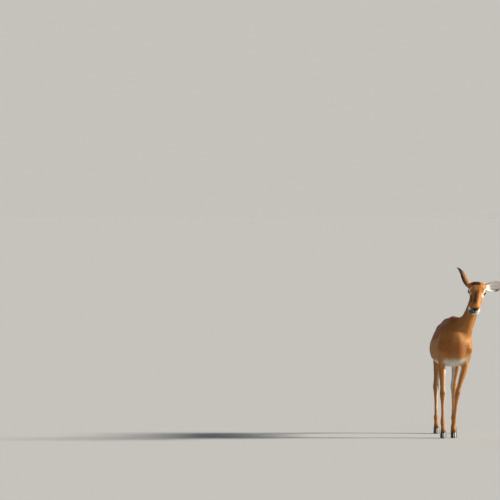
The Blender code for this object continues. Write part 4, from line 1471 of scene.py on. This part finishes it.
def earFaces(rows, columns):
    # the outer and the inner sheet, then the strips that join them at the rims, the root and the tip
    inner = rows * columns
    grid = []
    for base in (0, inner):
        for i in range(rows - 1):
            for j in range(columns - 1):
                a = base + i * columns + j
                grid.append((a, a + 1, a + columns + 1, a + columns))
    for i in range(rows - 1):
        for j in (0, columns - 1):
            a = i * columns + j
            grid.append((a, a + columns, inner + a + columns, inner + a))
    for i in (0, rows - 1):
        for j in range(columns - 1):
            a = i * columns + j
            grid.append((a, a + 1, inner + a + 1, inner + a))
    return grid


def earMesh(side):
    plan = ears[side]
    basis = np.array((towardLeft, towardBack, Vector((0, 0, 1))))
    along = unit(np.array(plan["along"]) @ basis)
    faces = np.array(plan["faces"]) @ basis
    faces = unit(faces - along * (faces @ along))
    across = np.cross(along, faces)
    rows, columns = ears["rows"], ears["columns"]
    points, colours, lies, sizes, places = [], [], [], [], []
    for layer in (1, -1):
        for i in range(rows):
            share = i / (rows - 1)
            for j in range(columns):
                place = 2 * j / (columns - 1) - 1
                points.append(earPoint(plan, (along, across, faces), layer, share, place))
                colour, size = earHair(side, layer, share, place)
                colours.append(colour)
                sizes.append(size)
                lies.append(along + across * (0.35 * place if layer > 0 else -0.75 * place))
                column = 0.02 + 0.46 * j / (columns - 1) + (0.5 if layer < 0 else 0)
                places.append((column, 0.02 + 0.96 * share))
    mesh = meshFrom("ear", points, earFaces(rows, columns))
    attribute(mesh, "coatColour", "FLOAT_COLOR", "POINT", colours)
    attribute(mesh, "lie", "FLOAT_VECTOR", "POINT", flatTo(np.array(lies), normalsOf(mesh)))
    for name, values in zip(("lockLength", "lockWidth", "lockDensity"), np.array(sizes).T):
        attribute(mesh, name, "FLOAT", "POINT", values)
    attribute(mesh, "coatPatch", "INT", "FACE", np.zeros(len(mesh.polygons)))
    attribute(mesh, "bare", "FLOAT", "POINT", np.zeros(len(points)))
    loops = gathered(mesh.loops, "vertex_index", kind=np.int32)
    mesh.uv_layers.new(name="OFBake").data.foreach_set("uv", np.array(places, np.float32)[loops].ravel())
    keepRootPlace(mesh)
    mesh.materials.append(shortHair)
    return mesh


for number, side in enumerate(sides):
    mesh = earMesh(side)
    perMetre = ears["locks"] / gathered(mesh.polygons, "area").sum()
    fur = grownCoat("earFur_" + side, mesh, 0, ears["seed"] + number, perMetre, lift=ears["lift"])
    dropAttributes(mesh, lockAttributes)
    ear = newObject("earSkin_" + side, mesh)
    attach(ear, "root")
    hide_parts("ear_" + side)
bpy.data.objects.remove(lockShape)
print("ears made")


# Eyes: a dark brown iris, an oblong pupil, a bulging clear front

eyes = {
    "segments": 72,
    "rings": 48,
    "bulge": 0.00045,
    "bulgeWidth": 26,            # angles from the middle of the front, in degrees
    "sunk": 0.0002,
    "pupil": (19, 11),
    "iris": 40,
    "irisEdge": 9,
    "pupilColour": tint(5, 7, 12),
    "irisColour": tint(38, 23, 14),
    "rimColour": tint(9, 7, 6),
}


def eyeColour(angle, around):
    long, high = eyes["pupil"]
    oblong = math.hypot(angle * math.cos(around) / long, angle * math.sin(around) / high)
    spokes = 1 + 0.22 * math.sin(around * 37) * math.sin(around * 11 + 1) + 0.10 * math.sin(around * 83)
    edge = rise(eyes["iris"] - eyes["irisEdge"], eyes["iris"], angle)
    colour = blended(eyes["irisColour"] * spokes, eyes["rimColour"], edge)
    return blended(colour, eyes["pupilColour"], rise(1.08, 0.92, oblong))


def eyeMesh(side):
    centre = middleOf("eye_" + side)
    _, gaze, along, above = lidAxes(side)
    points, colours = [], []
    rings, segments = eyes["rings"], eyes["segments"]
    for i in range(rings + 1):
        polar = math.pi * i / rings
        angle = math.degrees(polar)
        for j in range(segments if 0 < i < rings else 1):
            around = math.tau * j / segments
            aside = along * math.cos(around) + above * math.sin(around)
            heading = gaze * math.cos(polar) + aside * math.sin(polar)
            radius = stance["eyeRadius"] + eyes["bulge"] * bell(angle, eyes["bulgeWidth"]) - eyes["sunk"]
            points.append(centre + (heading @ headAxes.T) * radius)
            colours.append(eyeColour(angle, around))

    def number(i, j):
        if i in (0, rings):
            return 0 if i == 0 else len(points) - 1
        return 1 + (i - 1) * segments + j % segments

    faces = []
    for i in range(rings):
        for j in range(segments):
            corners = (number(i, j), number(i, j + 1), number(i + 1, j + 1), number(i + 1, j))
            faces.append(tuple(dict.fromkeys(corners)))
    mesh = meshFrom("eye", points, faces)
    attribute(mesh, "eyeColour", "FLOAT_COLOR", "POINT", colours)
    return mesh


def eyeFinish():
    material, tree, shader = finish(
        "wetEye", 0.10, Coat_Weight=1.0, Coat_Roughness=0.02, Coat_IOR=1.27, Specular_IOR_Level=0.05,
    )
    flecks = shaderNoise(tree, 0.0009, 3)
    feed(tree, shader, {"Base Color": tinted(tree, readAttribute(tree, "eyeColour"), flecks, 0.75, 1.25)})
    return material


wetEye = eyeFinish()
for side in sides:
    mesh = eyeMesh(side)
    mesh.materials.append(wetEye)
    eye = newObject("eyeball_" + side, mesh)
    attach(eye, "root")
    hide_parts("eye_" + side)


# Lashes: one row of fine dark hairs along each upper lid

lashes = {
    "count": 46,
    "length": 0.0085,
    "width": 0.00042,
    "span": 0.86,                # of the lid's length
    "out": 0.9,
    "sunk": 0.0006,
    "bend": 0.22,
    "seed": 31,
}


def lashMesh():
    points, faces = [], []
    chance = np.random.default_rng(lashes["seed"])
    ball = stance["eyeRadius"] / stance["headSize"] + lids["thickness"]
    for side in sides:
        centre, gaze, along, above = lidAxes(side)
        for number in range(lashes["count"]):
            share = (2 * (number + 0.5) / lashes["count"] - 1) * lashes["span"]
            share += chance.uniform(-0.01, 0.01)
            a = math.radians(lids["length"] * share)
            opening = (1 - abs(share) ** lids["corners"]) ** (1 / lids["corners"])
            b = math.radians(lids["height"] * opening * 1.02)
            spot = (gaze * math.cos(a) + along * math.sin(a)) * math.cos(b) + above * math.sin(b)
            base = centre + spot * (ball - lashes["sunk"])
            heading = spot * lashes["out"] + above * 0.15 + along * math.sin(a) * 0.7
            heading = unit(heading + chance.normal(size=3) * 0.06)
            length = lashes["length"] * chance.uniform(0.7, 1.05) * (1 - 0.35 * abs(share))
            sideways = unit(np.cross(heading, spot))
            upward = np.cross(sideways, heading)
            first = len(points)
            for step, width in ((0, 1.0), (0.5, 0.7)):
                middle = base + heading * length * step + above * length * lashes["bend"] * step**2
                for third in range(3):
                    angle = math.tau * third / 3
                    ring = sideways * math.cos(angle) + upward * math.sin(angle)
                    points.append(middle + ring * lashes["width"] / 2 * width)
            points.append(base + heading * length + above * length * 0.26)
            for k in range(3):
                n = (k + 1) % 3
                faces.append((first + k, first + n, first + 3 + n, first + 3 + k))
                faces.append((first + 3 + k, first + 3 + n, first + 6))
            faces.append((first + 2, first + 1, first))
    return meshFrom("lashes", fromHead(np.array(points)), faces)


def lashFinish():
    material, tree, shader = finish("lashHair", 0.45)
    feed(tree, shader, {"Base Color": (*coatColours["black"], 1)})
    bump(tree, shader, shaderNoise(tree, 0.0012, 2), 0.0002, 0.4)
    return material


lashPiece = newObject("lashes", lashMesh())
lashPiece.data.materials.append(lashFinish())
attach(lashPiece, "root")
print("eyes and lashes made")


# The tongue, curling out at the right side of the mouth

tongue = {
    "path": [        # middle, half width, half depth
        ((-0.006, 0.110, -0.0380), 0.0095, 0.0044),
        ((-0.0135, 0.131, -0.0405), 0.0115, 0.0050),
        ((-0.0178, 0.1465, -0.0415), 0.0138, 0.0056),
        ((-0.0200, 0.1548, -0.0325), 0.0158, 0.0062),
        ((-0.0205, 0.1550, -0.0200), 0.0158, 0.0058),
        ((-0.0208, 0.1510, -0.0095), 0.0122, 0.0042),
    ],
    "side": (1.0, 0.35, 0.0),
    "roundedFrom": 0.72,
    "rows": 56,
    "columns": 36,
    "groove": 0.0011,
    "colour": tint(30, 32, 54),
    "edgeColour": tint(50, 42, 60),
}


def throughPoints(rows, count):
    # a smooth line through the rows, in so many even steps
    table = np.array(rows, float)
    ends = np.vstack((2 * table[0] - table[1], table, 2 * table[-1] - table[-2]))
    found = []
    for t in np.linspace(0, len(table) - 1, count):
        i = min(int(t), len(table) - 2)
        s = t - i
        a, b, c, d = ends[i : i + 4]
        curve = (2 * a - 5 * b + 4 * c - d) * s**2 + (3 * b - a - 3 * c + d) * s**3
        found.append(0.5 * (2 * b + (c - a) * s + curve))
    return np.array(found)


def tongueMesh():
    rows, columns = tongue["rows"], tongue["columns"]
    table = throughPoints([(*point, half, deep) for point, half, deep in tongue["path"]], rows)
    points, colours = [], []
    for i, row in enumerate(table):
        along = unit(table[min(i + 1, rows - 1), :3] - table[max(i - 1, 0), :3])
        across = unit(np.array(tongue["side"]) - along * (along @ tongue["side"]))
        deep = np.cross(along, across)
        rounded = max(0.0, (i / (rows - 1) - tongue["roundedFrom"]) / (1 - tongue["roundedFrom"]))
        ending = math.sqrt(max(0.03, 1 - rounded**2))
        for j in range(columns):
            wide, thick = math.cos(math.tau * j / columns), math.sin(math.tau * j / columns)
            groove = tongue["groove"] * bell(wide, 0.28) * (1 if thick > 0 else 0.4)
            reach = (row[4] * abs(thick) ** 0.8 - groove) * (1 if thick > 0 else -1)
            points.append(row[:3] + across * row[3] * wide * ending + deep * reach * ending)
            colours.append(blended(tongue["colour"], tongue["edgeColour"], abs(wide) ** 4))
    for end in (0, rows - 1):
        points.append(table[end, :3])
        colours.append(tongue["colour"])
    mesh = meshFrom("tongue", fromHead(np.array(points)), tubeFaces(rows, columns))
    attribute(mesh, "tongueColour", "FLOAT_COLOR", "POINT", colours)
    return mesh


def tongueFinish():
    material, tree, shader = finish("wetTongue", 0.34, Coat_Weight=0.5, Coat_Roughness=0.10, Coat_IOR=1.35)
    blotches = shaderNoise(tree, 0.004, 4)
    feed(tree, shader, {"Base Color": tinted(tree, readAttribute(tree, "tongueColour"), blotches, 0.7, 1.25)})
    bump(tree, shader, pebbles(tree, 900), 0.0004, 0.7)
    return material


tonguePiece = newObject("tongueFlesh", tongueMesh())
tonguePiece.data.materials.append(tongueFinish())
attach(tonguePiece, "root")
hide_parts("tongue")


# Hooves: two claws to a foot, with growth lines, a softer bulb behind and worn edges

hooves = {
    "length": 0.056,
    "width": 0.0195,
    "gap": 0.0022,
    "coronet": 0.036,
    "slope": 0.36,
    "toeSlope": 0.28,
    "heelShift": 0.006,
    "aft": -0.004,
    "toeTaper": 0.48,
    "toeInward": 0.0056,
    "topTaper": 0.13,
    "topTuck": 0.20,
    "waist": 0.035,
    "rows": 22,
    "columns": 44,
    "above": 0.0050,
    "ringHeight": 0.00018,
    "horn": tint(46, 40, 36),
    "bulb": tint(70, 60, 52),
    "worn": tint(112, 98, 84),
}


def clawMesh(kind, side, place):
    node = f"claw_{kind}_{side}_{place}"
    low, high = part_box(node)
    foot = middleOf(f"claw_{kind}_{side}_outer", f"claw_{kind}_{side}_inner")
    foot[1] = low[1] + hooves["length"] / 2 - hooves["aft"]
    outward = 1 if (low[0] + high[0]) / 2 > foot[0] else -1
    middle = foot[0] + outward * (hooves["gap"] + hooves["width"]) / 2
    points, colours = [], []
    rows, columns = hooves["rows"], hooves["columns"]
    for i in range(rows):
        share = i / (rows - 1)
        lift = share**1.25
        narrow = 1 - 0.05 * bell(share, 0.05) - hooves["topTaper"] * lift
        narrow -= hooves["topTuck"] * rise(0.88, 1.0, share)
        length = hooves["length"] * (1 - hooves["toeSlope"] * lift)
        for j in range(columns):
            ahead, aside = math.sin(math.tau * j / columns), math.cos(math.tau * j / columns)
            toe = max(0.0, ahead) ** 2
            wide = aside * hooves["width"] / 2 * (1 - hooves["toeTaper"] * toe)
            waist = 1 - hooves["waist"] * math.sin(math.pi * share) * toe
            x = middle + wide * narrow - outward * hooves["toeInward"] * toe
            y = foot[1] - ahead * length / 2 * narrow * waist + hooves["heelShift"] * lift + hooves["aft"]
            top = hooves["coronet"] - hooves["slope"] * (y - foot[1])
            top += hooves["above"] * rise(0.86, 1.0, share)
            rings = hooves["ringHeight"] * math.sin(lift * 58) * (0 < i < rows - 1)
            points.append((x + aside * rings, y - ahead * rings, top * lift))
            colour = blended(hooves["horn"], hooves["bulb"], rise(0.35, 0.85, -ahead))
            colours.append(blended(colour, hooves["worn"], rise(0.16, 0.02, lift) * 0.6))
    for i, end in ((0, "worn"), (rows - 1, "horn")):
        points.append(np.mean(points[i * columns : (i + 1) * columns], axis=0))
        colours.append(hooves[end])
    mesh = meshFrom(node, points, tubeFaces(rows, columns))
    attribute(mesh, "hornColour", "FLOAT_COLOR", "POINT", colours)
    return mesh


def hornFinish():
    material, tree, shader = finish("hoofHorn", 0.42, Specular_IOR_Level=0.45)
    streaks = shaderNoise(tree, 0.0022, 4, (1, 1, 0.25))
    grime = shaderNoise(tree, 0.010, 4)
    colour = tinted(tree, readAttribute(tree, "hornColour"), streaks, 0.65, 1.35)
    feed(tree, shader, {"Base Color": tinted(tree, colour, grime, 0.8, 1.25)})
    bump(tree, shader, streaks, 0.0004, 0.6)
    return material


hoofHorn = hornFinish()
for kind in ("fore", "hind"):
    for side in sides:
        for place in ("outer", "inner"):
            mesh = clawMesh(kind, side, place)
            mesh.materials.append(hoofHorn)
            claw = newObject(f"hoof_{kind}_{side}_{place}", mesh)
            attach(claw, "root")
            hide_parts(f"claw_{kind}_{side}_{place}")
print("tongue and hooves made")


# Floor, light and camera

studio = {
    "floorSize": 420,
    "floor": tint(182, 182, 185),
    "horizon": (0.56, 0.54, 0.50),
    "sky": (0.105, 0.118, 0.140),
    "horizonTo": 0.10,           # sines of the heights between which horizon turns to sky
    "skyFrom": 0.34,
    "key": {"from": (0.96, -0.07, 0.37), "power": 8.6, "softness": 10, "colour": (1.0, 0.955, 0.81)},
    "fill": {"from": (0.10, -0.95, 0.20), "power": 0.60, "softness": 50, "colour": (1.0, 0.98, 0.95)},
    "back": {"from": (-0.35, 0.90, 0.70), "power": 0.25, "softness": 30, "colour": (1.0, 0.95, 0.88)},
}
paleFloor, tree, shader = finish("paleFloor", 0.95, Specular_IOR_Level=0.0)
feed(tree, shader, {"Base Color": (*studio["floor"], 1)})
bpy.ops.mesh.primitive_circle_add(vertices=96, radius=studio["floorSize"], fill_type="NGON")
floor = bpy.context.object
floor.name = "studioFloor"
floor.data.materials.append(paleFloor)

world = bpy.data.worlds.new("studio")
bpy.context.scene.world = world
world.use_nodes = True
tree = world.node_tree
heading = added(tree, "ShaderNodeTexCoord").outputs["Generated"]
height = added(tree, "ShaderNodeSeparateXYZ", {"Vector": heading}).outputs["Z"]
sockets = {"Value": height, "From Min": studio["horizonTo"], "From Max": studio["skyFrom"]}
share = added(tree, "ShaderNodeMapRange", sockets).outputs["Result"]
ramp = added(tree, "ShaderNodeMix", data_type="RGBA")
feed(tree, ramp, {"Factor": share})
for socket, name in zip([socket for socket in ramp.inputs if socket.type == "RGBA"], ("horizon", "sky")):
    socket.default_value = (*studio[name], 1)
sky = next(socket for socket in ramp.outputs if socket.type == "RGBA")
feed(tree, tree.nodes["Background"], {"Color": sky})

for name in ("key", "fill", "back"):
    plan = studio[name]
    lamp = bpy.data.lights.new(name, "SUN")
    lamp.energy = plan["power"]
    lamp.angle = math.radians(plan["softness"])
    lamp.color = plan["colour"]
    holder = bpy.data.objects.new(name, lamp)
    holder.rotation_euler = Vector(plan["from"]).to_track_quat("Z", "Y").to_euler()
    bpy.context.scene.collection.objects.link(holder)

view = {
    "azimuth": -5.5,
    "elevation": 3.0,
    "distance": 30.0,
    "focal": 9.0,                     # in widths of the view
    "reference": (0.0, -0.27, 0.0),   # a point of the floor
    "place": (0.4086, 0.376),         # where that shows: right and down of the middle, in the same widths
    "sensor": 36.0,
    "farEnd": 1500,
}
azimuth, elevation = math.radians(view["azimuth"]), math.radians(view["elevation"])


def backward(azimuth, elevation):
    flat = math.cos(elevation)
    return Vector((math.sin(azimuth) * flat, -math.cos(azimuth) * flat, math.sin(elevation)))


reference = Vector(np.array(view["reference"]) + planShift)
reference.z = 0
camera = bpy.data.cameras.new("camera")
camera.sensor_width = view["sensor"]
camera.lens = view["sensor"] * view["focal"]
camera.clip_end = view["farEnd"]
holder = bpy.data.objects.new("camera", camera)
holder.location = reference + backward(azimuth, elevation) * view["distance"]

# the view turns aside and up, its horizon level, until the reference shows at its place
ray = Vector((view["place"][0], -view["place"][1], view["focal"])).normalized()
steep = math.hypot(ray.y, ray.z)
elevation = math.atan2(ray.y, ray.z) + math.asin(math.sin(elevation) / steep)
azimuth += math.atan2(ray.x, ray.y * math.sin(elevation) + ray.z * math.cos(elevation))
right = Vector((math.cos(azimuth), math.sin(azimuth), 0))
back = backward(azimuth, elevation)
holder.rotation_euler = Matrix((right, back.cross(right), back)).transposed().to_euler()
bpy.context.scene.collection.objects.link(holder)
bpy.context.scene.camera = holder
bpy.context.scene.view_settings.view_transform = "Standard"
print("studio set")
